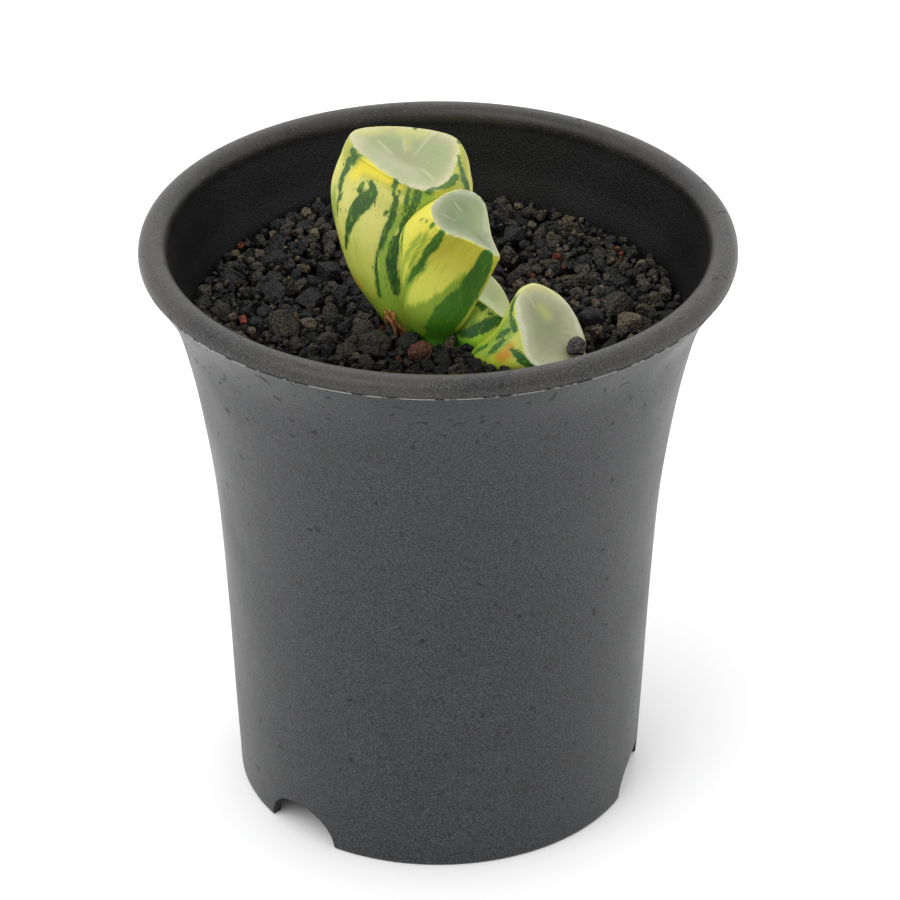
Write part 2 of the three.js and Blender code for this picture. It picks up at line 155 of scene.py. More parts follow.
# Leaves: a fan of four. A section is measured on its chord, which runs from the far margin to the near one,
# across the fan. outline is the end's outline, as (along the chord, inwards). A station is (x, y, z of the
# chord's middle, half chord, outer depth, inner depth); the last one takes its sizes from the outline. faces
# are the ways that the base and the end face, dish is how deep the end is, and mesh holds the steps round the
# leaf, along its side and along its end. The chord lies at FAN_AZIMUTH, but for a leaf with its own. Up to
# LENS_SHARE along it, a section is a lens with margins as sharp as KEENNESS makes them.
FAN_AZIMUTH = -54
LENS_SHARE = 0.6
KEENNESS = 0.35
LEAVES = {
    "leaf_tall": {
        "azimuth": -12,
        "outline": [
            (7.2, -0.6), (6.8, 2.9), (4.9, 4.6), (0.4, 4.9), (-4.4, 4.2), (-7.3, 2.8),
            (-7.1, 0.1), (-3.4, -2.2), (0.8, -4.1), (4.4, -4.5), (6.5, -3),
        ],
        "stations": [
            (-3.4, -2.6, 62, 1.8, 1, 1),
            (-4.3, -2.3, 66.5, 2.5, 1.6, 1.6),
            (-5.2, -1.3, 68.9, 3.6, 2.2, 2.4),
            (-5.9, 0, 71.9, 5.2, 3, 3.2),
            (-5.5, 1.9, 76.2, 7.3, 3.9, 4.4),
            (-4.6, 3.7, 81.3, 9.2, 4.6, 5.4),
            (-4.1, 4, 84.9, 8.5, 5, 5.4),
            (-4.1, 4, 86.6),
        ],
        "faces": [(0, 0, 1), (0, -0.45, 0.9)],
        "dish": 0.8,
        "mesh": (264, 130, 26),
    },
    "leaf_front": {
        "outline": [
            (5.4, 0.5), (2.2, 1.3), (-2.6, 3.2), (-5.1, 1.8), (-5.4, -1.4),
            (-4, -4.2), (-0.8, -4.5), (1.6, -2.2), (3.6, -0.7),
        ],
        "stations": [
            (-0.8, -4.3, 62, 2.2, 1.6, 1.2),
            (-0.6, -4.2, 66.5, 3, 2.6, 1.6),
            (-0.4, -3.7, 68, 3.8, 3.7, 2),
            (0.4, -3.4, 71.1, 5.1, 5.3, 2.8),
            (1.4, -3, 76.6, 6.8, 5.8, 3.2),
            (4.4, -5.8, 82.4),
        ],
        "faces": [(0, 0, 1), (0.28, -0.42, 0.86)],
        "dish": 0.6,
        "mesh": (216, 110, 20),
    },
    "leaf_small": {
        "outline": [
            (4, 0.8), (2.2, 1.9), (-1.3, 2), (-4, 0.6), (-3.8, -1.8), (-1.3, -2.4), (1.4, -0.8),
        ],
        "stations": [
            (2, -5.4, 62, 1.4, 0.9, 0.6),
            (2.9, -5.6, 65.4, 2.2, 1.3, 1),
            (4.5, -5.4, 68.2, 3.2, 1.9, 1.5),
            (6.7, -4.6, 71.3),
        ],
        "faces": [(0.3, 0, 0.95), (0.4, -0.5, 0.75)],
        "dish": 0.2,
        "mesh": (140, 64, 14),
    },
    "leaf_low": {
        "outline": [
            (6, -0.2), (4.8, 3.6), (1, 4.6), (-3.2, 3.7), (-6, 0.4), (-4.8, -3), (-1, -4.2), (3.8, -4.6),
        ],
        "stations": [
            (3.8, -7.4, 62.4, 1.4, 1, 0.8),
            (5.6, -9.6, 65.4, 2.2, 1.7, 1.4),
            (9.2, -10.6, 67.4, 3.6, 3, 2.6),
            (13.6, -10, 70.3),
        ],
        "faces": [(0.7, -0.2, 0.7), (0.45, -0.55, 0.7)],
        "dish": 0.2,
        "mesh": (180, 80, 18),
    },
    "dry_sheath": {
        "outline": [(1.5, 0.2), (0.2, 0.5), (-1.4, 0.2), (-1.1, -0.3), (0.6, -0.4)],
        "stations": [
            (-3.6, -4.3, 63.5, 1.6, 0.5, 0.3),
            (-4.8, -4, 66.6, 1.9, 0.5, 0.2),
            (-6.5, -3.2, 70),
        ],
        "faces": [(-0.3, 0, 0.95), (-0.5, 0.2, 0.8)],
        "dish": 0,
        "mesh": (60, 48, 4),
    },
}


# Markings of the leaves. Each streak is a run of (turn round the leaf, place along it, half width in mm).
# A turn above 1 has passed the near margin. Dark and green are streaks of green tissue, and on the tall
# leaf the dark ones in the hollow against the front leaf are partly painted shade. Gold is a patch of
# the strongest yellow, and warm is a bruised or orange patch. Lemon, moss and pale are tints in the window,
# and ridge is a low ridge in it. edge is where the window starts, as (turn, along), and unseen spreads
# streaks over the side that isn't seen from the front, as (least turn, greatest turn, number of streaks).
MARKS = {
    "leaf_tall": {
        # Those in the hollow against the front leaf are darkened there by painted shade
        "dark": [
            [(0.645, 0.87, 0.3), (0.655, 0.84, 0.55), (0.655, 0.8, 0.9), (0.65, 0.76, 1),
             (0.645, 0.72, 0.85), (0.64, 0.68, 0.65), (0.635, 0.65, 0.5), (0.63, 0.61, 0.3),
             (0.62, 0.56, 0.1)],
            [(0.63, 0.84, 0.15), (0.635, 0.8, 0.4)],
            [(0.535, 1.11, 0.1), (0.555, 1.04, 0.4), (0.575, 0.97, 0.45), (0.57, 0.91, 0.4),
             (0.58, 0.84, 0.4), (0.585, 0.8, 0.4), (0.595, 0.76, 0.35), (0.605, 0.73, 0.25),
             (0.605, 0.65, 0.1)],
            [(0.575, 1.11, 0.15), (0.58, 0.98, 0.25), (0.585, 0.9, 0.15)],
            [(0.695, 1.04, 0.2), (0.7, 0.99, 0.4), (0.695, 0.94, 0.3)],
            [(0.695, 0.9, 0.15), (0.695, 0.87, 0.1)],
            [(0.71, 0.92, 0.1), (0.71, 0.88, 0.1)],
            [(0.705, 0.86, 0.3), (0.705, 0.82, 0.4), (0.705, 0.78, 0.3), (0.705, 0.76, 0.4),
             (0.7, 0.71, 0.45), (0.695, 0.67, 0.3), (0.69, 0.62, 0.2), (0.685, 0.57, 0.15),
             (0.685, 0.52, 0.15), (0.685, 0.4, 0.15)],
            [(0.74, 1, 0.1), (0.735, 0.93, 0.2), (0.73, 0.86, 0.3), (0.73, 0.84, 0.1)],
            [(0.73, 0.81, 0.15), (0.73, 0.79, 0.1)],
            [(0.69, 0.76, 0.2), (0.69, 0.74, 0.1)],
            [(0.765, 0.99, 0.35), (0.765, 0.96, 0.5), (0.75, 0.84, 0.5), (0.74, 0.77, 0.4),
             (0.73, 0.72, 0.4), (0.73, 0.68, 0.45), (0.72, 0.65, 0.55), (0.72, 0.61, 0.6),
             (0.72, 0.56, 0.6), (0.73, 0.52, 0.6), (0.74, 0.48, 0.6), (0.75, 0.44, 0.5)],
            [(0.805, 1.03, 0.4), (0.83, 1.1, 0.35), (0.855, 1.09, 0.25), (0.895, 1.06, 0.4),
             (0.945, 1.06, 0.45), (0.965, 1.05, 0.3)],
            [(1.06, 1.1, 0.2), (1.03, 1.06, 0.2), (1.015, 1.03, 0.2), (1.005, 0.98, 0.4),
             (0.99, 0.93, 0.5), (0.985, 0.86, 0.5), (0.98, 0.8, 0.4)],
            [(0.13, 1.03, 0.2), (0.12, 1.04, 0.2)],
        ],
        "green": [
            [(0.58, 0.74, 0.2), (0.59, 0.68, 0.25), (0.59, 0.62, 0.15)],
            [(0.75, 0.93, 0.5), (0.74, 0.85, 0.7), (0.725, 0.78, 0.6), (0.715, 0.72, 0.6),
             (0.705, 0.68, 0.6), (0.7, 0.64, 0.6), (0.695, 0.6, 0.6), (0.7, 0.52, 0.7), (0.71, 0.44, 0.9),
             (0.72, 0.36, 1.1)],
            [(0.8, 1.02, 0.6), (0.79, 0.95, 0.8), (0.78, 0.85, 0.9)],
            [(0.66, 0.34, 0.6), (0.67, 0.28, 0.75), (0.67, 0.22, 0.8)],
        ],
        "gold": [[(0.605, 0.84, 0.5), (0.61, 0.95, 0.8), (0.64, 0.98, 0.8), (0.67, 0.98, 0.6),
                  (0.71, 0.98, 0.3)]],
        "warm": [[(0.615, 0.43, 0.25), (0.63, 0.4, 0.25)], [(0.66, 0.33, 0.25), (0.67, 0.28, 0.3)]],
        "lemon": [
            [(0.46, 1.06, 0.2), (0.4, 1.12, 0.5), (0.35, 1.1, 0.4)],
            [(0.31, 1.15, 0.5), (0.27, 1.16, 0.5), (0.24, 1.14, 0.4)],
            [(0.29, 1.35, 0.1), (0.28, 1.6, 0.05)],
            [(0.105, 1.07, 0.2), (0.05, 1.1, 0.2)],
        ],
        "moss": [
            [(0.365, 1.1, 0.3), (0.345, 1.25, 0.4), (0.32, 1.4, 0.35)],
            [(0.13, 1.45, 1.3), (0.06, 1.4, 1.4), (0.98, 1.45, 1.2)],
        ],
        "pale": [
            [(0.49, 1.1, 0.8), (0.52, 1.4, 1.1), (0.62, 1.51, 1.2), (0.745, 1.51, 1.2),
             (0.785, 1.2, 0.8)],
        ],
        "ridge": [
            [(0.415, 1.4, 0.1), (0.425, 1.59, 0.15), (0.44, 1.75, 0.05)],
            [(0.22, 1.1, 0.1), (0.22, 1.4, 0.15), (0.205, 1.73, 0.05)],
            [(0.925, 1.66, 0.05), (0.9, 1.5, 0.15), (0.875, 1.3, 0.1)],
            [(0.3, 1.3, 0.05), (0.3, 1.5, 0.1), (0.29, 1.7, 0.05)],
        ],
        "edge": [(0, 1.12), (0.1, 1.05), (0.2, 1.01), (0.48, 1.01), (0.535, 1.12), (0.59, 1.17),
                 (0.64, 1.05), (0.78, 1.01), (0.865, 1.11), (0.92, 1.12)],
        "unseen": (0.16, 0.5, 11),
    },
    "leaf_front": {
        "dark": [
            [(0.67, 1.02, 0.3), (0.68, 0.97, 0.5), (0.69, 0.93, 0.55), (0.695, 0.89, 0.45),
             (0.705, 0.85, 0.4), (0.71, 0.81, 0.4), (0.7, 0.76, 0.25), (0.69, 0.72, 0.1)],
            [(0.915, 0.99, 0.75), (0.92, 0.93, 1.05), (0.91, 0.86, 1.2), (0.885, 0.79, 1.35),
             (0.855, 0.73, 1.7), (0.83, 0.66, 1.95), (0.82, 0.57, 1.9), (0.83, 0.45, 1.9)],
            [(0.62, 1, 0.1), (0.62, 0.98, 0.1)],
            [(0.59, 0.98, 0.1), (0.585, 0.97, 0.1)],
            [(0.57, 0.95, 0.1), (0.565, 0.96, 0.1)],
            [(0.54, 0.84, 0.1), (0.58, 0.83, 0.2), (0.605, 0.8, 0.1)],
        ],
        "green": [
            [(0.705, 0.86, 0.5), (0.71, 0.81, 0.6), (0.7, 0.76, 0.6), (0.685, 0.71, 0.6),
             (0.66, 0.64, 0.55), (0.635, 0.53, 0.5)],
            [(0.62, 0.93, 0.2), (0.63, 0.9, 0.3), (0.64, 0.85, 0.25), (0.645, 0.8, 0.25),
             (0.64, 0.74, 0.2), (0.63, 0.66, 0.2)],
            [(0.63, 0.95, 0.2), (0.65, 0.92, 0.35), (0.66, 0.88, 0.3), (0.67, 0.84, 0.25),
             (0.68, 0.79, 0.15)],
            [(0.54, 0.85, 0.15), (0.575, 0.83, 0.3), (0.605, 0.8, 0.25), (0.62, 0.76, 0.2),
             (0.6, 0.6, 0.2)],
            [(0.86, 0.86, 0.5), (0.82, 0.77, 0.8), (0.78, 0.67, 1.2), (0.74, 0.56, 1.8)],
        ],
        "moss": [[(0.45, 1.6, 1), (0.3, 1.9, 1.3), (0.3, 1.5, 0.9)]],
        "ridge": [
            [(0.55, 1.3, 0.05), (0.56, 1.6, 0.05)],
            [(0.42, 1.3, 0.05), (0.42, 1.5, 0.05)],
        ],
        "edge": [(0, 1.03), (0.2, 1.01), (0.45, 1.01), (0.6, 1.03)],
        "unseen": (1.1, 1.45, 7),
    },
    "leaf_small": {
        "dark": [
            [(0.8, 0.6, 0.5), (0.82, 0.67, 0.6), (0.845, 0.78, 0.75), (0.875, 0.87, 0.75),
             (0.91, 0.96, 0.6), (0.94, 1.03, 0.3)],
            [(0.755, 0.96, 0.3), (0.785, 0.98, 0.25)],
            [(0.81, 0.96, 0.25), (0.81, 1, 0.2)],
            [(0.855, 0.96, 0.2), (0.875, 0.98, 0.1)],
        ],
        "green": [[(0.78, 0.9, 0.5), (0.8, 0.75, 0.7), (0.8, 0.6, 0.8)]],
        "lemon": [[(0.1, 1.05, 0.4), (0.16, 1.05, 0.45), (0.22, 1.05, 0.4)]],
        "ridge": [[(0.3, 1.2, 0.05), (0.32, 1.5, 0.1), (0.35, 1.8, 0.05)]],
        "edge": [(0, 1.03)],
        "unseen": (1.08, 1.5, 5),
    },
    "leaf_low": {
        "dark": [
            [(0.595, 1.05, 0.1), (0.635, 1.02, 0.2), (0.66, 0.98, 0.2), (0.69, 0.96, 0.2),
             (0.72, 0.96, 0.35), (0.745, 0.96, 0.3)],
            [(0.725, 0.89, 0.35), (0.72, 0.82, 0.35), (0.715, 0.74, 0.2)],
            [(0.745, 0.82, 0.25), (0.755, 0.73, 0.35), (0.765, 0.62, 0.25)],
            [(0.715, 0.57, 0.2), (0.72, 0.44, 0.25), (0.73, 0.36, 0.1)],
            [(0.8, 0.88, 0.25), (0.83, 0.93, 0.5), (0.855, 0.97, 0.6), (0.88, 0.98, 0.5),
             (0.93, 0.97, 0.4)],
            [(0.88, 1.57, 0.1), (0.925, 1.67, 0.1)],
            [(0.66, 1.12, 0.1), (0.67, 1.13, 0.1)],
        ],
        "green": [
            [(0.69, 0.9, 0.5), (0.7, 0.8, 0.6), (0.71, 0.65, 0.6), (0.72, 0.5, 0.6)],
            [(0.73, 0.95, 0.6), (0.75, 0.85, 0.5), (0.76, 0.7, 0.5), (0.77, 0.55, 0.6)],
        ],
        "warm": [[(0.785, 0.88, 0.45), (0.8, 0.82, 0.7), (0.805, 0.72, 0.6)]],
        "lemon": [
            [(0.57, 1.04, 0.4), (0.52, 1.06, 0.55), (0.46, 1.06, 0.5), (0.4, 1.05, 0.4)],
            [(0.5, 1.55, 0.5), (0.45, 1.7, 0.5)],
        ],
        "moss": [[(0.53, 1.62, 0.6), (0.6, 1.8, 0.8), (0.8, 1.8, 0.7)]],
        "ridge": [
            [(0.56, 1.2, 0.05), (0.56, 1.5, 0.05)],
            [(0.2, 1.3, 0.05), (0.2, 1.6, 0.05)],
        ],
        "edge": [(0, 1.03), (0.2, 1.01), (0.45, 1.01), (0.6, 1.03)],
        "unseen": (1.02, 1.45, 7),
    },
    "dry_sheath": {"edge": [(0, 1.03)]},
}
MARK_KINDS = ("dark", "green", "warm", "gold", "lemon", "moss", "pale", "ridge")

# Colours of each leaf: up its side, as (place along it, colour), into the window from its edge to its middle,
# and its dark streaks low down and high up
SKINS = {
    "leaf_tall": {
        "side": [(0.3, "76861f"), (0.5, "9fab3a"), (0.66, "c2c45c"), (0.8, "d6d278"), (0.94, "ccc86c"),
                 (1.06, "a6a844")],
        "window": ["b9b592", "aaa883", "9b9d76", "929770"],
        # Its low dark green is deeper, partly painted shade in its fold against the front leaf
        "dark": ["1d4a08", "3f612c"],
    },
    "leaf_front": {
        "side": [(0.38, "356810"), (0.5, "6a981e"), (0.62, "a9ba36"), (0.77, "d4da58"), (0.92, "dede5c"),
                 (1.06, "dcd24e")],
        "window": ["9ca285", "858f6d", "6d7959", "657153"],
        "dark": ["3f7d18", "42702a"],
    },
    "leaf_small": {
        # Its side is darkest low down: its own green, with painted shade on its underside
        "side": [(0.3, "285c0a"), (0.54, "2f6a10"), (0.64, "6aa31a"), (0.74, "95bc26"), (0.88, "a9c232"),
                 (1.06, "bcc85a")],
        "window": ["c0c79c", "bcc596", "b6c092", "b2bc8e"],
        "dark": ["1c4c0c", "225616"],
    },
    "leaf_low": {
        "side": [(0.3, "5f8a20"), (0.5, "8faa2c"), (0.68, "b0bc38"), (0.88, "bcc244"), (1.06, "c0c45c")],
        "window": ["c4c6a8", "acae8a", "949774", "878b69"],
        "dark": ["27601c", "2b5c1e"],
    },
}


def through(points, at, closed=False, clamped=False):
    """Places on a smooth curve through the points, at shares of its length from 0 to 1."""
    rows = np.asarray(points, float)
    at = np.atleast_1d(np.asarray(at, float))
    if closed:
        place = (at % 1) * len(rows)
        first = np.floor(place).astype(int)
        a, b, c, d = (rows[(first + k) % len(rows)] for k in (-1, 0, 1, 2))
    else:
        place = np.clip(at, 0, 1) * (len(rows) - 1)
        first = np.minimum(place.astype(int), len(rows) - 2)
        before = rows[0] if clamped else 2 * rows[0] - rows[1]
        after = rows[-1] if clamped else 2 * rows[-1] - rows[-2]
        padded = np.vstack([before, rows, after])
        a, b, c, d = (padded[first + k] for k in (0, 1, 2, 3))
    t = (place - first)[:, None]
    return b + 0.5 * t * (c - a + t * (2 * a - 5 * b + 4 * c - d + t * (3 * (b - c) + d - a)))


def smooth_step(value, low=0.0, high=1.0):
    """0 below low, 1 above high, and a soft rise between them."""
    t = np.clip((np.asarray(value, float) - low) / (high - low), 0, 1)
    return t * t * (3 - 2 * t)


def unit(vectors):
    """Vectors at length 1."""
    vectors = np.asarray(vectors, float)
    return vectors / np.linalg.norm(vectors, axis=-1, keepdims=True)


# Rounded edge of a leaf's end: how far in its crest lies, as a share of the half width, its rise in
# millimetres and its rows of points. An outline is read at this many places.
EDGE_SHARE = 0.1
EDGE_RISE = 0.28
EDGE_ROWS = 7
OUTLINE_STEPS = 400


def leaf_surface(leaf, turn, along):
    """Points in millimetres on a leaf, for arrays of the place round it (0 to 1) and along it. along is
    0 to 1 from the base to the edge of the end, and 1 to 2 from that edge to the middle of the end."""
    turn, along = np.broadcast_arrays(np.asarray(turn, float), np.asarray(along, float))
    shape = turn.shape
    turn, along = turn.ravel(), along.ravel()
    share = np.minimum(along, 1)
    shrink = 2 - np.maximum(along, 1)
    crest = np.clip((1 - shrink) / EDGE_SHARE, 0, 1)
    past_crest = np.clip((1 - shrink - EDGE_SHARE) / (1 - EDGE_SHARE), 0, 1)
    rise = EDGE_RISE * np.sqrt(1 - (1 - crest) ** 2) * (1 + np.cos(math.pi * past_crest)) / 2
    rise -= leaf["dish"] * (1 - shrink)
    outline = np.array(leaf["outline"])
    whole = through(outline, np.linspace(0, 1, OUTLINE_STEPS, endpoint=False), closed=True)
    end_width = np.abs(whole[:, 0]).max()
    end_outer, end_inner = -whole[:, 1].min(), whole[:, 1].max()
    section = through(outline, turn, closed=True)
    rows = leaf["stations"]
    centre = through([row[:3] for row in rows], share)
    sizes = through([row[3:] or (end_width, end_outer, end_inner) for row in rows], share)
    low_face, end_face = (unit(face) for face in leaf["faces"])
    face = unit(low_face + smooth_step(share)[:, None] * (end_face - low_face))
    azimuth = math.radians(leaf.get("azimuth", FAN_AZIMUTH))
    chord = np.array((math.cos(azimuth), math.sin(azimuth), 0))
    chord = unit(chord - (face @ chord)[:, None] * face)
    inwards = np.cross(face, chord)
    cut = smooth_step(share, LENS_SHARE, 1)
    outer = section[:, 1] < 0
    p = section[:, 0] / end_width
    q = section[:, 1] / np.where(outer, end_outer, end_inner)
    angle = np.arctan2(q, p)
    lens = np.sin(angle) * np.abs(np.sin(angle)) ** KEENNESS
    depth = np.where(outer, sizes[:, 1], sizes[:, 2])
    across = (np.cos(angle) * (1 - cut) + p * cut) * sizes[:, 0] * shrink
    inward = (lens * (1 - cut) + q * cut) * depth * shrink
    points = centre + face * rise[:, None] + chord * across[:, None] + inwards * inward[:, None]
    return points.reshape(*shape, 3)


# A mark with no lines counts as this many millimetres away
OUTSIDE_LINES = 9.0


def inside_lines(points, lines):
    """How far each point lies inside the nearest of some lines, each (places, half widths), in millimetres.
    It is negative outside them."""
    depth = np.full(len(points), -OUTSIDE_LINES)
    squares = (points ** 2).sum(1)[:, None]
    for places, widths in lines:
        away = squares + (places ** 2).sum(1) - 2 * points @ places.T
        depth = np.maximum(depth, (widths - np.sqrt(np.maximum(away, 0))).max(1))
    return depth


# A streak has this many places for each row of its table, and is no thinner than this in millimetres
STREAK_STEPS = 12
STREAK_LEAST = 0.05

# Ranges of a streak that a seeded rule places: place of its top along the leaf, length, half width in
# millimetres, and the turn that it gains from top to bottom
UNSEEN_RANGES = ((0.72, 1.04), (0.12, 0.5), (0.12, 0.65), (-0.03, 0.03))
UNSEEN_JITTER = 0.02
UNSEEN_ROWS = 6


def streak_lines(leaf, streaks):
    """Streaks as lines on a leaf, each (places, half widths), in millimetres."""
    lines = []
    for streak in streaks:
        rows = through(streak, np.linspace(0, 1, STREAK_STEPS * len(streak)))
        lines.append((leaf_surface(leaf, rows[:, 0], rows[:, 1]), np.maximum(rows[:, 2], STREAK_LEAST)))
    return lines


def unseen_streaks(random, low, high, count):
    """Long and short streaks between two turns, on the side that isn't seen from the front."""
    streaks = []
    for turn in np.linspace(low, high, count) + random.uniform(-UNSEEN_JITTER, UNSEEN_JITTER, count):
        top, length, width, sway = (random.uniform(*ends) for ends in UNSEEN_RANGES)
        streak = []
        for share in np.linspace(0, 1, UNSEEN_ROWS):
            swell = math.sin(math.pi * (0.2 + 0.75 * share))
            streak.append((turn + sway * share, top - length * share, width * swell))
        streaks.append(streak)
    return streaks


def add_node(tree, kind, inputs=(), stops=(), give=0, **settings):
    """Adds a shader node with its settings, and returns one of its outputs, if it has any. inputs holds
    values and outputs to link, by name or place, or in order: a Map Range takes value, from low and high,
    and to low and high. stops are the places and colours of a colour ramp."""
    made = tree.nodes.new("ShaderNode" + kind)
    for name, value in settings.items():
        setattr(made, name, value)
    for name, value in inputs.items() if isinstance(inputs, dict) else enumerate(inputs):
        if isinstance(value, bpy.types.NodeSocket):
            tree.links.new(value, made.inputs[name])
        else:
            made.inputs[name].default_value = value
    for k, (place, colour) in enumerate(stops):
        elements = made.color_ramp.elements
        element = elements[k] if k < 2 else elements.new(place)
        element.position = place
        element.color = colour
    return made.outputs[give] if made.outputs else None


def new_material(name):
    """An empty node material, and the function that adds nodes to it."""
    made = bpy.data.materials.new(name)
    made.use_nodes = True
    made.node_tree.nodes.clear()
    return made, partial(add_node, made.node_tree)


def select_only(piece):
    """Makes one object the only selected and active one."""
    bpy.ops.object.select_all(action="DESELECT")
    piece.select_set(True)
    bpy.context.view_layer.objects.active = piece


def settle(piece, name, slot, surface, *nodes):
    """Names a finished piece, puts its place in its mesh, and gives it its material and body. Its slot
    is not used.
    """
    select_only(piece)
    bpy.ops.object.transform_apply(location=True, rotation=True, scale=True)
    piece.name = name
    piece.data.name = name
    piece.data.materials.clear()
    piece.data.materials.append(surface)
    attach(piece, "root")
    if nodes:
        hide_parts(*nodes)
    return piece


def new_object(name, data):
    """Puts a new object in the scene, as the only selected one."""
    piece = bpy.data.objects.new(name, data)
    bpy.context.collection.objects.link(piece)
    select_only(piece)
    return piece


def joined(pieces):
    """Joins some objects into the first of them."""
    select_only(pieces[0])
    for piece in pieces:
        piece.select_set(True)
    bpy.ops.object.join()
    return bpy.context.object


def smooth(piece):
    """Shades an object smooth."""
    select_only(piece)
    bpy.ops.object.shade_smooth()
    return piece


def merge(piece, within, outwards=True):
    """Merges the points of an object that lie within some millimetres, and turns its faces outwards."""
    select_only(piece)
    bpy.ops.object.mode_set(mode="EDIT")
    bpy.ops.mesh.select_all(action="SELECT")
    bpy.ops.mesh.remove_doubles(threshold=within * MM)
    if outwards:
        bpy.ops.mesh.normals_make_consistent(inside=False)
    bpy.ops.object.mode_set(mode="OBJECT")
    return piece


def modify(piece, kind, **settings):
    """Gives an object a modifier with its settings, and applies it."""
    select_only(piece)
    modifier = piece.modifiers.new(kind, kind)
    for name, value in settings.items():
        setattr(modifier, name, value)
    bpy.ops.object.modifier_apply(modifier=modifier.name)


def give_points(mesh, name, kind, values):
    """Gives a mesh's points an attribute."""
    key = "vector" if kind == "FLOAT_VECTOR" else "value"
    mesh.attributes.new(name, kind, "POINT").data.foreach_set(key, np.asarray(values, np.float32).ravel())


def turned(name, profile, steps):
    """Spins a profile of (radius, height) in millimetres about Z. It starts and ends on the axis."""
    bpy.ops.mesh.primitive_plane_add(size=1 * MM, location=(0, 0, 0))
    piece = bpy.context.object
    piece.name = name
    bpy.ops.object.mode_set(mode="EDIT")
    bpy.ops.mesh.select_all(action="SELECT")
    bpy.ops.mesh.merge(type="CENTER")
    places = [Vector((radius * MM, 0, height * MM)) for radius, height in profile]
    bpy.ops.transform.translate(value=places[0])
    for before, after in zip(places, places[1:]):
        bpy.ops.mesh.extrude_vertices_move(TRANSFORM_OT_translate={"value": after - before})
    bpy.ops.mesh.select_all(action="SELECT")
    bpy.ops.mesh.spin(steps=steps, angle=2 * math.pi, center=(0, 0, 0), axis=(0, 0, 1))
    bpy.ops.object.mode_set(mode="OBJECT")
    return merge(piece, COARSE_MERGE)


def moulded_polypropylene(settings):
    """Charcoal polypropylene, injection moulded in a spark-eroded tool. The eye sees a matte skin with a
    fine speckle that catches the light, a ragged bright line of flash under the lip, which is painted
    highlight, and dull water marks."""
    made, add = new_material("moulded_polypropylene")
    place = add("TexCoord", give="Object")
    height = add("SeparateXYZ", (place,), give="Z")
    # The tool's texture is about 0.1 mm across, and is drawn at 0.22 mm so that it shows
    speckle, cloud, blotch = (
        add("TexNoise", {"Vector": place, "Scale": 1 / (width * MM), "Detail": detail})
        for width, detail in ((0.22, 2.0), (9, 4.0), (1.6, 2.0))
    )
    # Water marks lie in the 15 mm under the lip, where drops ran and dried
    damp_band = add("MapRange", (height, 58 * MM, 72 * MM, 0, 0.05))
    damp = add("Math", (blotch, damp_band), operation="ADD")
    mark = add("MapRange", (damp, 0.7, 0.73, 1, 0.2))
    # The inside, which faces the axis, is darker by painted shade
    flat_place = add("VectorMath", (place, (1, 1, 0)), operation="MULTIPLY")
    normal = add("TexCoord", give="Normal")
    facing = add("VectorMath", (normal, flat_place), give="Value", operation="DOT_PRODUCT")
    tone = add("MapRange", (speckle, 0.36, 0.7, 0.1, 2.3))
    patchy = add("MapRange", (cloud, 0.3, 0.7, 0.88, 1.12))
    inside = add("MapRange", (facing, -20 * MM, 0, 0.3, 1))
    for share in (patchy, mark, inside):
        tone = add("Math", (tone, share), operation="MULTIPLY")
    colour = add("VectorMath", {0: settings.plastic[:3], "Scale": tone}, operation="SCALE")
    # Flash: a paler line round the crease outside, as painted highlight, broken where the tool closed well
    crease = settings.height - LIP_HEIGHT * MM
    off_crease = add("Math", (height, crease), operation="SUBTRACT")
    off_crease = add("Math", (off_crease,), operation="ABSOLUTE")
    flash_highlight = add("MapRange", (off_crease, 0.12 * MM, 0.05 * MM))
    reach = add("VectorMath", (flat_place,), give="Value", operation="LENGTH")
    broken = add("MapRange", (blotch, 0.47, 0.53))
    outside = add("Math", (reach, settings.rim_radius - MM), operation="GREATER_THAN")
    for share in (broken, outside):
        flash_highlight = add("Math", (flash_highlight, share), operation="MULTIPLY")
    # Dust from the grit lies on the lip, as a brown film with pale specks
    on_lip = add("MapRange", (height, crease, crease + 0.6 * MM))
    film, specks = (
        add("Math", (add("MapRange", ends), on_lip), operation="MULTIPLY")
        for ends in ((cloud, 0.35, 0.6, 0.1, 0.5), (speckle, 0.65, 0.74))
    )
    for share, tint in ((flash_highlight, settings.flash_highlight), (film, settings.film), (specks, settings.specks)):
        colour = add("Mix", {0: share, 6: colour, 7: tint}, give=2, data_type="RGBA")
    # Dried drops are duller
    rough = add("MapRange", (cloud, 0.3, 0.7, 0.34, 0.44))
    dull = add("MapRange", (mark, 1, 0.2, 0, 0.16))
    rough = add("Math", (rough, dull), operation="ADD")
    bump = add("Bump", {"Height": speckle, "Distance": 0.06 * MM, "Strength": 0.9})
    shader = add(
        "BsdfPrincipled",
        {"Base Color": colour, "Roughness": rough, "IOR": 1.55, "Specular IOR Level": 0.32, "Normal": bump},
    )
    add("OutputMaterial", (shader,))
    return made


def inside_radius(height, wall=WALL, rim=RIM):
    """Radius of the pot's inside at a height, in millimetres. Near the lip the wall thickens to meet it."""
    outside = through(OUTSIDE, np.linspace(0, 1, OUTSIDE_STEPS), clamped=True)
    straight = np.interp(height, outside[:, 1], outside[:, 0]) - wall
    start = np.interp(THICKENS_FROM, outside[:, 1], outside[:, 0]) - wall
    rise = (height - THICKENS_FROM) / (OUTSIDE[-1][1] - THICKENS_FROM)
    return np.where(np.asarray(rise) <= 0, straight, start + (rim - LIP_WIDTH - start) * rise)


def squared(value):
    """A sine or cosine made a little squarer, for the lip's section."""
    return math.copysign(abs(value) ** LIP_ROUNDNESS, value)


def drain_holes():
    """Places of the drain holes in millimetres: a ring of them, and one in the middle."""
    reach = DRAIN_RING_RADIUS
    turns = [2 * math.pi * k / DRAIN_COUNT for k in range(DRAIN_COUNT)]
    return [(reach * math.cos(turn), reach * math.sin(turn)) for turn in turns] + [(0, 0)]


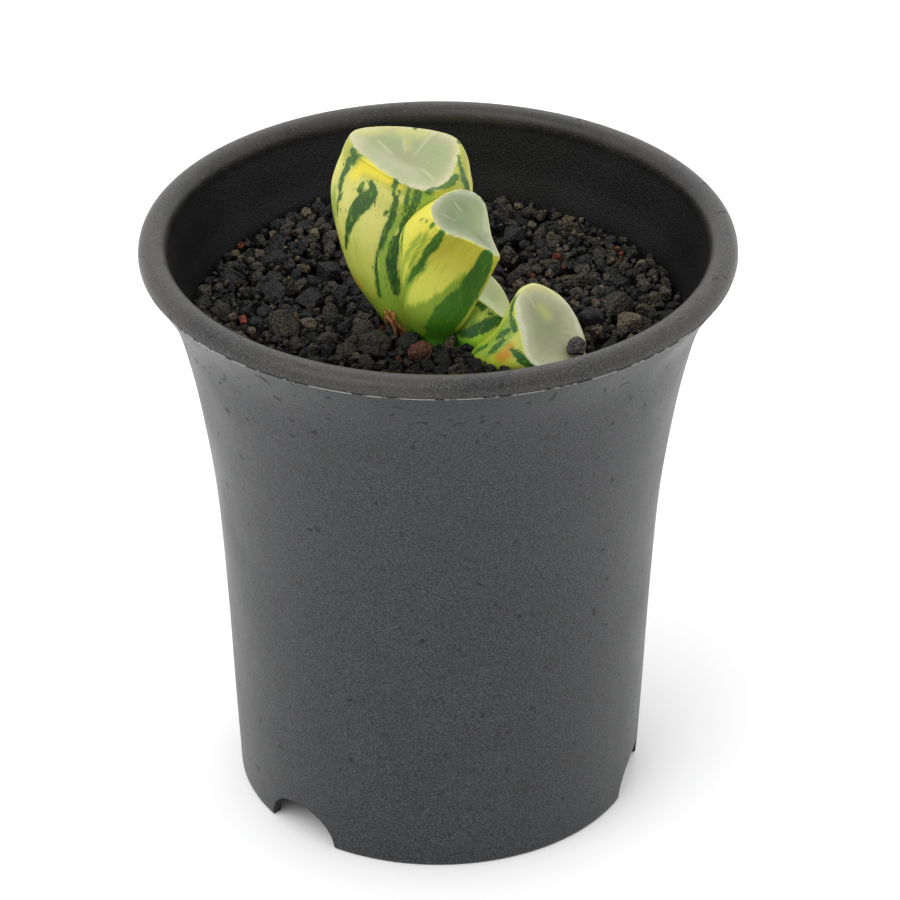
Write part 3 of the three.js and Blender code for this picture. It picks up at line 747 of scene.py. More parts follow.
def pot_profile(settings):
    """The pot's section in millimetres, from the axis under its floor, round the foot and lip, and back."""
    wall = settings.wall / MM
    rim = settings.rim_radius / MM
    lip_base = settings.height / MM - LIP_HEIGHT
    outside = through(OUTSIDE, np.linspace(0, 1, OUTSIDE_STEPS), clamped=True)
    foot = OUTSIDE[0][0]
    inner_foot = foot - wall
    profile = [(0, FLOOR_UNDERSIDE), (inner_foot - 0.5, FLOOR_UNDERSIDE), (inner_foot, FLOOR_UNDERSIDE - 0.5)]
    profile += [(inner_foot, 0.2), (inner_foot + 0.2, 0)]
    profile += [(foot - FOOT_BEVEL, 0), (foot - 0.1, 0.1), (foot, FOOT_BEVEL)]
    profile += [tuple(point) for point in outside[1:-1]]
    # A ridge of flash, and a shadow line cut in over it, under the lip's outer edge
    profile += [(rim - 0.06, lip_base - 0.05), (rim - 0.12, lip_base + 0.03)]
    profile += [(rim - 0.42, lip_base + 0.05), (rim - 0.38, lip_base + CREASE - 0.03)]
    for turn in np.linspace(0, math.pi, LIP_STEPS):
        radius = rim - LIP_WIDTH / 2 + LIP_WIDTH / 2 * squared(math.cos(turn))
        profile.append((radius, lip_base + CREASE + (LIP_HEIGHT - CREASE) * squared(math.sin(turn))))
    for height in np.linspace(lip_base - 0.4, FLOOR_TOP + 0.8, INSIDE_STEPS):
        profile.append((float(inside_radius(height, wall, rim)), height))
    corner = float(inside_radius(FLOOR_TOP, wall, rim))
    profile += [(corner - 0.25, FLOOR_TOP + 0.2), (corner - 0.8, FLOOR_TOP), (0, FLOOR_TOP)]
    return profile


class HaworthiaPot(bpy.types.PropertyGroup):
    """Sizes and colour of the pot"""

    rim_radius: bpy.props.FloatProperty(
        name="Rim radius", description="Outer radius of the lip",
        default=RIM * MM, min=0.01, unit="LENGTH",
    )
    height: bpy.props.FloatProperty(
        name="Height", description="Height of the pot", default=HEIGHT * MM, min=0.01, unit="LENGTH",
    )
    wall: bpy.props.FloatProperty(
        name="Wall", description="Thickness of the wall", default=WALL * MM, min=0.0005, unit="LENGTH",
    )
    steps: bpy.props.IntProperty(
        name="Steps", description="Faces round the pot", default=192, min=48,
    )
    plastic: colour_setting("Plastic", "Colour of the plastic", "28292b")
    # The flash's paler line is painted highlight
    flash_highlight: colour_setting("Flash", "Colour of the thin line of flash under the lip", "94948f")
    film: colour_setting("Film", "Colour of the film of dust on the lip", "3e3a32")
    specks: colour_setting("Specks", "Colour of the specks of dust on the lip", "605e56")


class HAWORTHIA_OT_pot(bpy.types.Operator):
    """Turn the pot, and cut its foot arches and drain holes"""

    bl_idname = "haworthia.pot"
    bl_label = "Build the pot"

    def execute(self, context):
        settings = context.scene.haworthia_pot
        pot = turned("pot_moulding", pot_profile(settings), settings.steps)
        cutters = []
        foot = OUTSIDE[0][0] * MM
        for azimuth in ARCH_AZIMUTHS:
            turn = math.radians(azimuth)
            bpy.ops.mesh.primitive_cylinder_add(
                vertices=ARCH_SIDES, radius=1, depth=foot,
                location=(foot * math.cos(turn), foot * math.sin(turn), 0),
                rotation=(math.pi / 2, 0, turn + math.pi / 2),
                scale=(ARCH_HALF_WIDTH * MM, ARCH_HEIGHT * MM, 1),
            )
            cutters.append(context.object)
        for x, y in drain_holes():
            bpy.ops.mesh.primitive_cylinder_add(
                vertices=DRAIN_SIDES, radius=DRAIN_RADIUS * MM, depth=DRAIN_CUT * MM,
                location=(x * MM, y * MM, FLOOR_TOP * MM),
            )
            cutters.append(context.object)
        cutter = joined(cutters)
        modify(pot, "BOOLEAN", operation="DIFFERENCE", solver="EXACT", object=cutter)
        bpy.data.objects.remove(cutter)
        select_only(pot)
        bpy.ops.object.shade_smooth_by_angle(angle=math.radians(POT_CREASE_ANGLE))
        settle(pot, "pot_moulding", "pot_plastic", moulded_polypropylene(settings), "pot")
        return {"FINISHED"}


def leaf_rows(body, end):
    """Places along a leaf for its rows of vertices: close together over the rounded edge of its end."""
    edge = 1 + EDGE_SHARE * (1 - np.cos(np.linspace(0, math.pi / 2, EDGE_ROWS)))
    middle = np.linspace(1 + EDGE_SHARE, 2, end + 1)[1:]
    return np.concatenate([np.linspace(0, 1, body + 1)[:-1], edge, middle])


# A window's ridges stand this many millimetres high, and fade over this range of places beside their middle
RIDGE_RISE = 0.06
RIDGE_FADE = (-0.4, 0.1)

# Rows below this place along a leaf are evened out, this many times and by this share
EVENED_BELOW = 0.8
EVENED_TIMES = 30
EVENED_SHARE = 0.5

# Size in millimetres at which a leaf's grain is laid out
GRAIN_RADIUS = 6
GRAIN_LENGTH = 24
RIM_STEPS = 500
BASE_STEPS = 60


def leaf_mesh(name, leaf):
    """A leaf from a grid, whose columns run along the leaf and whose rows run round it."""
    around, body, end = leaf["mesh"]
    rows = leaf_rows(body, end)
    bpy.ops.mesh.primitive_grid_add(x_subdivisions=around, y_subdivisions=len(rows) - 1, size=2)
    piece = bpy.context.object
    piece.name = name
    mesh = piece.data
    grid = (places_of(mesh) + 1) / 2
    turn = grid[:, 0]
    row = np.rint(grid[:, 1] * (len(rows) - 1)).astype(int)
    along = rows[row]
    points = leaf_surface(leaf, turn % 1, along)
    # The first row closes the buried base
    points[row == 0] = leaf_surface(leaf, np.linspace(0, 1, BASE_STEPS, endpoint=False), 0).mean(0)
    marks = MARKS[name]
    lines = {kind: streak_lines(leaf, marks.get(kind, [])) for kind in MARK_KINDS}
    if "unseen" in marks:
        # The seed is the length of the leaf's name
        random = np.random.default_rng(len(name))
        lines["dark"] += streak_lines(leaf, unseen_streaks(random, *marks["unseen"]))
    values = {kind: inside_lines(points, lines[kind]) for kind in MARK_KINDS}
    # How far a point lies in the window, past its edge
    turns, starts = np.array(marks["edge"]).T
    rim = np.linspace(0, 1, RIM_STEPS, endpoint=False)
    edge = leaf_surface(leaf, rim, np.interp(rim, turns, starts, period=1))
    from_edge = -inside_lines(points, [(edge, np.zeros(len(edge)))])
    values["window"] = np.where(along > np.interp(turn, turns, starts, period=1), from_edge, -from_edge)
    values["along"] = along
    raised = RIDGE_RISE * smooth_step(values["ridge"], *RIDGE_FADE)
    points = points + unit(leaf["faces"][1]) * raised[:, None]
    # Nothing stands past the box of the CAD's leaf
    low, high = (np.array(corner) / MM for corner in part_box(name))
    points = np.clip(points, low, high)
    for key, value in values.items():
        give_points(mesh, key, "FLOAT", value)
    # Place in the grain of the leaf: round it and along it, in millimetres, with no seam
    grain = [GRAIN_RADIUS * np.cos(2 * math.pi * turn), GRAIN_RADIUS * np.sin(2 * math.pi * turn),
             GRAIN_LENGTH * along]
    give_points(mesh, "grain", "FLOAT_VECTOR", np.stack(grain, axis=1))
    mesh.vertices.foreach_set("co", (points * MM).astype(np.float32).ravel())
    mesh.update()
    merge(piece, LEAF_MERGE)
    # Rows that crowd on the inside of a bend are evened out
    bpy.ops.object.mode_set(mode="EDIT")
    bpy.ops.mesh.select_all(action="DESELECT")
    bpy.ops.object.mode_set(mode="OBJECT")
    mesh.vertices.foreach_set("select", read(mesh, "along") < EVENED_BELOW)
    bpy.ops.object.mode_set(mode="EDIT")
    bpy.ops.mesh.vertices_smooth(factor=EVENED_SHARE, repeat=EVENED_TIMES)
    bpy.ops.object.mode_set(mode="OBJECT")
    return piece


def read(mesh, name):
    """A float attribute of a mesh's points."""
    values = np.empty(len(mesh.vertices), np.float32)
    mesh.attributes[name].data.foreach_get("value", values)
    return values.astype(float)


def places_of(mesh):
    """The places of a mesh's points."""
    places = np.empty(len(mesh.vertices) * 3, np.float32)
    mesh.vertices.foreach_get("co", places)
    return places.reshape(-1, 3).astype(float)


def tree_of(piece):
    """A search tree over an object's faces."""
    mesh = piece.data
    return BVHTree.FromPolygons([v.co for v in mesh.vertices], [p.vertices[:] for p in mesh.polygons])


# Leaves and the sheath keep this many millimetres apart
SKIN_GAP = 0.05


def press_against(piece, fixed, clearance):
    """Moves the points of a piece that lie inside a fixed one, or too near it, out to its surface."""
    tree = tree_of(fixed)
    for vertex in piece.data.vertices:
        place, normal, _, away = tree.find_nearest(vertex.co)
        inside = (vertex.co - place).dot(normal) < 0
        if inside or away < clearance:
            vertex.co = place + normal * clearance
    piece.data.update()


def leaf_skin(settings, name, skin):
    """Haworthia epidermis, grown and not made: a waxy skin over wet, translucent tissue. The eye sees soft
    light inside it, feathered green streaks in yellow, and a pale window with low ridges at the end."""
    made, add = new_material(name)
    place = add("TexCoord", give="Object")
    grain = add("Attribute", give="Vector", attribute_name="grain")
    fibres = add("Mapping", {"Vector": grain, "Scale": (1, 1, 0.22)})
    # The grain attribute is in millimetres, and so are the widths of a feather and of a fleck
    feather, fleck, cloud = (
        add("TexNoise", {"Vector": way, "Scale": 1 / width, "Detail": detail})
        for way, width, detail in ((fibres, 0.5, 3.0), (fibres, 0.22, 2.0), (place, 2.4 * MM, 3.0))
    )
    along, window, dark = (
        add("Attribute", give="Fac", attribute_name=kind) for kind in ("along", "window", "dark")
    )
    frayed = add("Mix", {0: 0.5, 2: feather, 3: fleck})
    # The tall leaf's dark streaks are deeper green low down, partly painted shade in its fold
    low_green, high_green = (linear(shade) for shade in skin["dark"])
    height = add("MapRange", (along, 0.55, 0.8))
    dark_green = add("Mix", {0: height, 6: low_green, 7: high_green}, give=2, data_type="RGBA")
    # Faint green veins run up the whole side
    side = [(add("MapRange", (frayed, 0.52, 0.68, 0, 0.3)), settings.pale_green)]
    pane = []
    # Each mark: where it is laid, its kind, the width of its edge in mm and how far that is shifted, what
    # moves the edge and how far, how much of it shows, and its colour
    for layers, kind, edge, shift, fray, reach, most, tint in (
        (side, "gold", 0.7, 0.05, frayed, 0.6, 0.9, settings.gold),
        (side, "warm", 0.5, 0.05, frayed, 0.8, 0.8, settings.bruise),
        (side, "green", 0.4, 0.05, frayed, 1.7, 0.85, settings.pale_green),
        (side, "dark", 0.5, 0.05, frayed, 1.0, 0.45, settings.pale_green),
        (side, "dark", 0.14, 0.05, frayed, 1.5, 1.0, dark_green),
        (pane, "pale", 1.0, 0, cloud, 1.0, 0.7, settings.pale),
        (pane, "moss", 0.9, 0, cloud, 0.9, 0.5, settings.moss),
        (pane, "lemon", 0.9, 0, cloud, 0.9, 0.7, settings.lemon),
        (pane, "ridge", 0.25, 0, cloud, 0.25, 0.35, settings.ridge),
    ):
        mark = add("Attribute", give="Fac", attribute_name=kind)
        moved = add("Math", (fray, reach, -reach / 2), operation="MULTIPLY_ADD")
        moved = add("Math", (moved, mark), operation="ADD")
        ends = (moved, -edge - shift, edge - shift, 0, most)
        layers.append((add("MapRange", ends, interpolation_type="SMOOTHSTEP"), tint))
    # Lighter flecks inside the dark streaks, and darker ones at random beside them
    in_streak = side[-1][0]
    beside = add("MapRange", (dark, -0.9, -0.2))
    for ends, share, tint in (
        ((fleck, 0.54, 0.66, 0, 0.5), in_streak, settings.pale_green),
        ((fleck, 0.36, 0.3), beside, dark_green),
    ):
        flecks = add("MapRange", ends)
        side.append((add("Math", (flecks, share), operation="MULTIPLY"), tint))
    tissue = add("Math", (cloud, 0.16, along), operation="MULTIPLY_ADD")
    skin_colour = add("ValToRGB", (tissue,), [(at, linear(shade)) for at, shade in skin["side"]])
    # The window: pale at its rim, greyer and greener towards its middle, with fibres in its tissue
    depth = add("Math", (cloud, 1.6, -0.8), operation="MULTIPLY_ADD")
    depth = add("Math", (depth, window), operation="ADD")
    depth = add("MapRange", (depth, 0, 5))
    stops = [(at, linear(shade)) for at, shade in zip((0.06, 0.16, 0.5, 0.9), skin["window"])]
    pane_colour = add("ValToRGB", (depth,), stops)
    mottle = add("MapRange", (frayed, 0.35, 0.65, 0.91, 1.07))
    pane_colour = add("VectorMath", {0: pane_colour, "Scale": mottle}, operation="SCALE")
    edge = add("Math", (feather, 1.2, -0.6), operation="MULTIPLY_ADD")
    edge = add("Math", (edge, window), operation="ADD")
    in_window = add("MapRange", (edge, -0.12, 0.16), interpolation_type="SMOOTHSTEP")
    dark_top = add("MapRange", (dark, 0, 0.12, 1, 0.1))
    in_window = add("Math", (in_window, dark_top), operation="MULTIPLY")
    painted = []
    for colour, layers in ((pane_colour, pane), (skin_colour, side)):
        for share, tint in layers:
            colour = add("Mix", {0: share, 6: colour, 7: tint}, give=2, data_type="RGBA")
        painted.append(colour)
    colour = add("Mix", {0: in_window, 6: painted[1], 7: painted[0]}, give=2, data_type="RGBA")
    rough = add("MapRange", (in_window, 0, 1, 0.46, 0.36))
    # Skin cells are about 0.05 mm across, and are drawn at 0.2 mm so that they show
    cells = add("TexNoise", {"Vector": place, "Scale": 1 / (0.2 * MM), "Detail": 1.0})
    bump = add("Bump", {"Height": cells, "Distance": 0.012 * MM, "Strength": 0.6})
    veins = add("Bump", {"Height": feather, "Distance": 0.04 * MM, "Strength": 0.5, "Normal": bump})
    shader = add(
        "BsdfPrincipled",
        {"Base Color": colour, "Roughness": rough, "IOR": 1.42, "Normal": veins, "Subsurface Weight": 0.15,
         "Subsurface Radius": (1.0, 0.9, 0.35), "Subsurface Scale": 0.8 * MM},
    )
    add("OutputMaterial", (shader,))
    return made


class HaworthiaLeaves(bpy.types.PropertyGroup):
    """Colours of the leaves"""

    gold: colour_setting("Gold", "Strongest yellow of the skin", "e6d53c")
    pale_green: colour_setting("Pale green", "Colour of the pale streaks", "7a9f30")
    bruise: colour_setting("Bruise", "Colour of the warm patches", "c67e18")
    moss: colour_setting("Moss", "Greener tint of a window", "879868")
    lemon: colour_setting("Lemon", "Yellow tint of a window", "bfc06c")
    ridge: colour_setting("Ridge", "Colour of a window's ridges", "cccdae")
    pale: colour_setting("Pale", "Palest tint of a window", "bbb89b")


class HAWORTHIA_OT_leaves(bpy.types.Operator):
    """Loft the four leaves, press them against each other, and colour them"""

    bl_idname = "haworthia.leaves"
    bl_label = "Grow the leaves"

    def execute(self, context):
        settings = context.scene.haworthia_leaves
        grown = []
        for name in ("leaf_front", "leaf_small", "leaf_low", "leaf_tall"):
            leaf = leaf_mesh(name, LEAVES[name])
            for earlier in grown:
                press_against(leaf, earlier, SKIN_GAP * MM)
            grown.append(leaf)
            skin = leaf_skin(settings, name + "_skin", SKINS[name])
            settle(smooth(leaf), name + "_skin", "leaf_skin", skin, name)
        return {"FINISHED"}


# A tube has this many rings for each place of its path, and narrows by this power of the way along it
TUBE_STEPS = 8
TAPER_POWER = 1.5

# Thin dry strands beside the sheath: places in millimetres, from the root up, and the half width
STRANDS = [
    ([(-5.5, -5.2, 65.6), (-5.3, -5.3, 66.9), (-5.7, -5.1, 68.1), (-6.4, -4.8, 69.1), (-6.7, -4.7, 69.7)],
     0.28),
    ([(-4.6, -5.6, 65.6), (-4.5, -5.8, 66.6), (-4.8, -5.8, 67.4)], 0.22),
]
STRAND_TIP = 0.35

# Crinkles move the sheath this far, in millimetres, and run up it. Its torn edge hangs down by TORN
# millimetres, and by up to as much more or less, but by no less than TORN_LEAST, and the tear grows from
# TORN_FROM upwards along the sheath. The scales are waves per millimetre.
CRINKLE = 0.16
CRINKLE_SCALE = 1.3
CRINKLE_UPWARDS = 0.4
CRINKLE_SEED = 3
TORN = 1.6
TORN_LEAST = 0.5
TORN_FROM = 0.45
TORN_SCALE = 1.9


def dried_leaf(settings):
    """A dead leaf base, dried on the plant. The eye sees a papery tan skin with darker fibres and specks."""
    made, add = new_material("dried_leaf")
    place = add("TexCoord", give="Object")
    fibres = add("Mapping", {"Vector": place, "Scale": (1, 1, 0.2)})
    thread = add("TexNoise", {"Vector": fibres, "Scale": 1 / (0.3 * MM), "Detail": 3.0})
    stops = [(0.3, settings.shade), (0.5, settings.paper), (0.72, settings.bleached)]
    colour = add("ValToRGB", (thread,), stops)
    # Its foot, down among the grit, is darker
    height = add("SeparateXYZ", (place,), give="Z")
    stain = add("MapRange", (height, 67 * MM, 70.5 * MM, 0.2, 1))
    colour = add("VectorMath", {0: colour, "Scale": stain}, operation="SCALE")
    bump = add("Bump", {"Height": thread, "Distance": 0.08 * MM, "Strength": 0.8})
    shader = add("BsdfPrincipled", {"Base Color": colour, "Roughness": 0.75, "IOR": 1.45, "Normal": bump})
    add("OutputMaterial", (shader,))
    return made


def tapered(name, path, radius, tip, sides=10):
    """A closed tube through some places in millimetres, which narrows towards its end."""
    line = bpy.data.curves.new(name, "CURVE")
    line.dimensions = "3D"
    line.bevel_depth = radius * MM
    line.bevel_resolution = sides // 4
    line.use_fill_caps = True
    at = np.linspace(0, 1, TUBE_STEPS * len(path))
    spline = line.splines.new("POLY")
    spline.points.add(len(at) - 1)
    for point, place, share in zip(spline.points, through(path, at), at):
        point.co = (*(place * MM), 1)
        point.radius = 1 + (tip - 1) * share ** TAPER_POWER
    new_object(name, line)
    bpy.ops.object.convert(target="MESH")
    return merge(bpy.context.object, TUBE_MERGE)


class HaworthiaBase(bpy.types.PropertyGroup):
    """Colours of the dry sheath and the roots"""

    paper: colour_setting("Paper", "Colour of the dry leaf base", "b57a36")
    bleached: colour_setting("Bleached", "Colour of its palest fibres", "dcb274")
    shade: colour_setting("Shade", "Colour of its darkest fibres", "6e3f18")
    root: colour_setting("Root", "Colour of the fleshy roots", "c9b58b")


class HAWORTHIA_OT_sheath(bpy.types.Operator):
    """Crinkle the dry leaf base, tear its top, and add its loose strands"""

    bl_idname = "haworthia.sheath"
    bl_label = "Dry the sheath"

    def execute(self, context):
        paper = dried_leaf(context.scene.haworthia_base)
        sheath = leaf_mesh("dry_sheath", LEAVES["dry_sheath"])
        along = read(sheath.data, "along")
        # Without a seed, noise_vector takes its offsets from the clock
        noise.seed_set(CRINKLE_SEED)
        for vertex, share in zip(sheath.data.vertices, along):
            place = vertex.co / MM
            drawn = Vector((place.x, place.y, place.z * CRINKLE_UPWARDS))
            wave = noise.noise_vector(drawn * CRINKLE_SCALE) * CRINKLE
            torn = TORN + TORN * noise.noise(Vector((place.x, place.y, 0)) * TORN_SCALE)
            torn = max(torn, TORN_LEAST) * smooth_step(share, TORN_FROM, 1)
            vertex.co = vertex.co + Vector((wave.x, wave.y, -torn)) * MM
        for leaf in ("leaf_tall_skin", "leaf_front_skin"):
            press_against(sheath, bpy.data.objects[leaf], SKIN_GAP * MM)
        settle(smooth(sheath), "dry_sheath_skin", "dry_sheath", paper, "dry_sheath")
        for k, (path, width) in enumerate(STRANDS):
            strand = smooth(tapered("strand", path, width, STRAND_TIP))
            settle(strand, f"dry_sheath_{k}_strand", "dry_sheath", paper, "dry_sheath")
        return {"FINISHED"}


def root_skin(settings):
    """Fleshy root skin, grown in damp grit. The eye sees a pale waxy cream, stained brown in patches."""
    made, add = new_material("root_skin")
    place = add("TexCoord", give="Object")
    stain = add("TexNoise", {"Vector": place, "Scale": 1 / (1.5 * MM), "Detail": 4.0})
    stops = [(0.35, settings.shade), (0.55, settings.root), (0.75, settings.bleached)]
    colour = add("ValToRGB", (stain,), stops)
    bump = add("Bump", {"Height": stain, "Distance": 0.1 * MM, "Strength": 0.6})
    shader = add("BsdfPrincipled", {"Base Color": colour, "Roughness": 0.55, "IOR": 1.4, "Normal": bump})
    add("OutputMaterial", (shader,))
    return made


class HAWORTHIA_OT_roots(bpy.types.Operator):
    """Turn the crown, run the roots out of it, and join them in one skin"""

    bl_idname = "haworthia.roots"
    bl_label = "Grow the roots"

    def execute(self, context):
        parts = [turned("crown", CROWN_PROFILE, CROWN_STEPS)]
        for k, (reach, depth) in enumerate(ROOT_TIPS):
            turn = 2 * math.pi * k / len(ROOT_TIPS)
            path = [
                (out * math.cos(turn), out * math.sin(turn), height)
                for out, height in (
                    (0.8, 57.5), (3.6, 56.6), (0.7 * reach, 56 - 0.3 * depth), (reach, 55 - 0.7 * depth),
                    (1.02 * reach, 54 - depth),
                )
            ]
            parts.append(tapered("root", path, ROOT_RADIUS * ROOT_SLACK, ROOT_TIP, ROOT_SIDES))
        roots = joined(parts)
        roots.location = (CROWN_AT[0] * MM, CROWN_AT[1] * MM, 0)
        modify(roots, "REMESH", mode="VOXEL", voxel_size=ROOT_SKIN * MM)
        modify(roots, "SMOOTH", iterations=ROOT_EVENED)
        surface = root_skin(context.scene.haworthia_base)
        settle(smooth(roots), "stem_and_roots_body", "stem_skin", surface, "stem_and_roots")
        return {"FINISHED"}


# Loose grit: the bed is cut level here, and grains are piled on it to this far above the CAD's level. A kind
# of grain has the least and greatest half width in millimetres, and the number of grains that are dropped.
BED_LEVEL = 64.5
PILE_ABOVE = 1.35
STONES = (1.3, 2.2, 120)
CHIPS = [(0.85, 1.3, 900), (0.5, 0.85, 2600)]
FINES = (0.2, 0.4, 1600)

# Grid of heights: the width of a cell and of the empty edge in millimetres, and the cells from its middle
# outwards. A grain takes the lowest of SPOTS places. The wall's inside is worked out at WALL_STEPS heights.
CELL = 0.25
CELLS = 150
EMPTY_EDGE = 3
SPOTS = 12
WALL_STEPS = 40

# Shares of a grain's half width: how deep it sinks between others, how much of it may stand over the pile's
# level, and how near its middle comes to the wall and to a leaf
SUNK = 0.3
OVER_LEVEL = 0.5
NEAR_WALL = 0.9
NEAR_LEAF = 0.8

# A lump: the flats broken off it, how far from its middle, and how uneven its corners are. Grains are
# stretched by this much along each axis, and their faces meet in edges sharper than an angle.
LUMP_KINDS = 14
FLATS = 6
FLAT_AT = (0.45, 0.8)
FLATTER_THAN = 4
UNEVEN = 0.16
STRETCH = (0.72, 1.2)
GRAIN_CREASE_ANGLE = 24

# Paler and browner grains are commoner at the back right, by this much where x and y add up to these
# millimetres. Grains more than LARGE in half width are darker by this factor.
LEAN = 0.25
LEAN_RANGE = (0, 30)
LARGE = 1
LARGE_TONE = 0.92

# Grains over each drain hole: how many, how far from its middle, their height over the floor and half widths
HOLE_GRAINS = 3
HOLE_GRAIN_AT = 0.9
HOLE_GRAIN_UP = 0.75
HOLE_GRAIN_SIZES = (0.8, 1.1)


def grit_level(x, y):
    """Height in millimetres that the grit is filled to, with its low mound."""
    away = (x - MOUND_CENTRE[0]) ** 2 + (y - MOUND_CENTRE[1]) ** 2
    return GRIT_LEVEL + MOUND_HEIGHT * np.exp(-away / MOUND_RADIUS ** 2)


def lumps(random, kinds, subdivisions):
    """Angular lumps about 1 in half width, each (points, triangles): ico spheres with flats broken off."""
    made = []
    for kind in range(kinds):
        bpy.ops.mesh.primitive_ico_sphere_add(subdivisions=subdivisions, radius=1, location=(0, 0, 0))
        lump = bpy.context.object
        bpy.ops.object.mode_set(mode="EDIT")
        for _ in range(FLATS):
            way = Vector(unit(random.normal(size=3)))
            bpy.ops.mesh.select_all(action="SELECT")
            bpy.ops.mesh.bisect(
                plane_co=way * random.uniform(*FLAT_AT), plane_no=way, use_fill=True, clear_outer=True,
            )
        bpy.ops.mesh.select_all(action="SELECT")
        bpy.ops.mesh.dissolve_limited(angle_limit=math.radians(FLATTER_THAN))
        bpy.ops.mesh.select_all(action="SELECT")
        bpy.ops.transform.vertex_random(offset=UNEVEN, seed=kind)
        bpy.ops.mesh.quads_convert_to_tris()
        bpy.ops.mesh.normals_make_consistent(inside=False)
        bpy.ops.object.mode_set(mode="OBJECT")
        points = places_of(lump.data)
        low, high = points.min(0), points.max(0)
        points = (points - (low + high) / 2) * 2 / (high - low).mean()
        made.append((points, np.array([face.vertices[:] for face in lump.data.polygons])))
        bpy.data.objects.remove(lump)
    return made


def pile_up(random, heights, kind, clear_of, wall):
    """Drops grains on a square grid of heights, each at the lowest of some random spots where it clears the
    leaves, the pebbles and the wall. Returns their centres and half widths in millimetres."""
    least, greatest, count = kind
    placed = []
    for _ in range(count):
        radius = random.uniform(least, greatest)
        spots = random.uniform(-1, 1, (SPOTS, 2)) * (CELLS * CELL - EMPTY_EDGE)
        column, row = np.rint(spots / CELL).astype(int).T + CELLS
        top = grit_level(*spots.T) + PILE_ABOVE
        lack = top - heights[column, row]
        reach = int(radius / CELL) + 1
        off = np.arange(-reach, reach + 1) * CELL
        ratio = (off[:, None] ** 2 + off ** 2) / radius ** 2
        under = ratio < 1
        dome = radius * np.sqrt(np.where(under, 1 - ratio, 0))
        for k in np.argsort(-lack):
            patch = heights[column[k] - reach:column[k] + reach + 1, row[k] - reach:row[k] + reach + 1]
            height = (patch + dome)[under].max() - SUNK * radius
            too_high = height + OVER_LEVEL * radius > top[k]
            in_wall = np.hypot(*spots[k]) + NEAR_WALL * radius > np.interp(height, *wall)
            centre = Vector((*spots[k], height)) * MM
            if too_high or in_wall or too_near(centre, NEAR_LEAF * radius * MM, clear_of):
                continue
            patch[under] = np.maximum(patch, height + dome)[under]
            placed.append((*spots[k], height, radius))
            break
    return np.array(placed)


def too_near(place, clearance, clear_of):
    """Whether a place lies inside one of some closed pieces, or too near it."""
    for low, high, tree in clear_of:
        if all(low[k] - clearance < place[k] < high[k] + clearance for k in range(3)):
            nearest, normal, _, away = tree.find_nearest(place)
            if away < clearance or (place - nearest).dot(normal) < 0:
                return True
    return False


def grains(name, random, placed, shapes):
    """One object of loose grains: each takes a lump of its own size, turned at random, with its own tone."""
    count = len(placed)
    kinds = random.integers(len(shapes), size=count)
    sizes = placed[:, 3:] * random.uniform(*STRETCH, (count, 3))
    turns = unit(random.normal(size=(count, 4)))
    w, x, y, z = turns.T
    matrices = np.array([
        [1 - 2 * (y * y + z * z), 2 * (x * y - z * w), 2 * (x * z + y * w)],
        [2 * (x * y + z * w), 1 - 2 * (x * x + z * z), 2 * (y * z - x * w)],
        [2 * (x * z - y * w), 2 * (y * z + x * w), 1 - 2 * (x * x + y * y)],
    ]).transpose(2, 0, 1)
    lean = LEAN * smooth_step(placed[:, 0] + placed[:, 1], *LEAN_RANGE)
    tones = random.uniform(0, 1, count) ** (1 - lean)
    tones = np.where(placed[:, 3] > LARGE, LARGE_TONE * tones, tones)
    points, faces, tone = [], [], []
    start = 0
    for kind, (lump, triangles) in enumerate(shapes):
        for k in np.flatnonzero(kinds == kind):
            points.append(lump * sizes[k] @ matrices[k].T + placed[k, :3])
            faces.append(triangles + start)
            tone.append(np.full(len(lump), tones[k]))
            start += len(lump)
    points, faces, tone = np.concatenate(points) * MM, np.concatenate(faces), np.concatenate(tone)
    mesh = bpy.data.meshes.new(name)
    mesh.vertices.add(len(points))
    mesh.vertices.foreach_set("co", points.astype(np.float32).ravel())
    mesh.loops.add(faces.size)
    mesh.loops.foreach_set("vertex_index", faces.astype(np.int32).ravel())
    mesh.polygons.add(len(faces))
    mesh.polygons.foreach_set("loop_start", np.arange(0, faces.size, 3, dtype=np.int32))
    mesh.update(calc_edges=True)
    give_points(mesh, "tone", "FLOAT", tone)
    piece = new_object(name, mesh)
    bpy.ops.object.shade_smooth_by_angle(angle=math.radians(GRAIN_CREASE_ANGLE))
    return piece


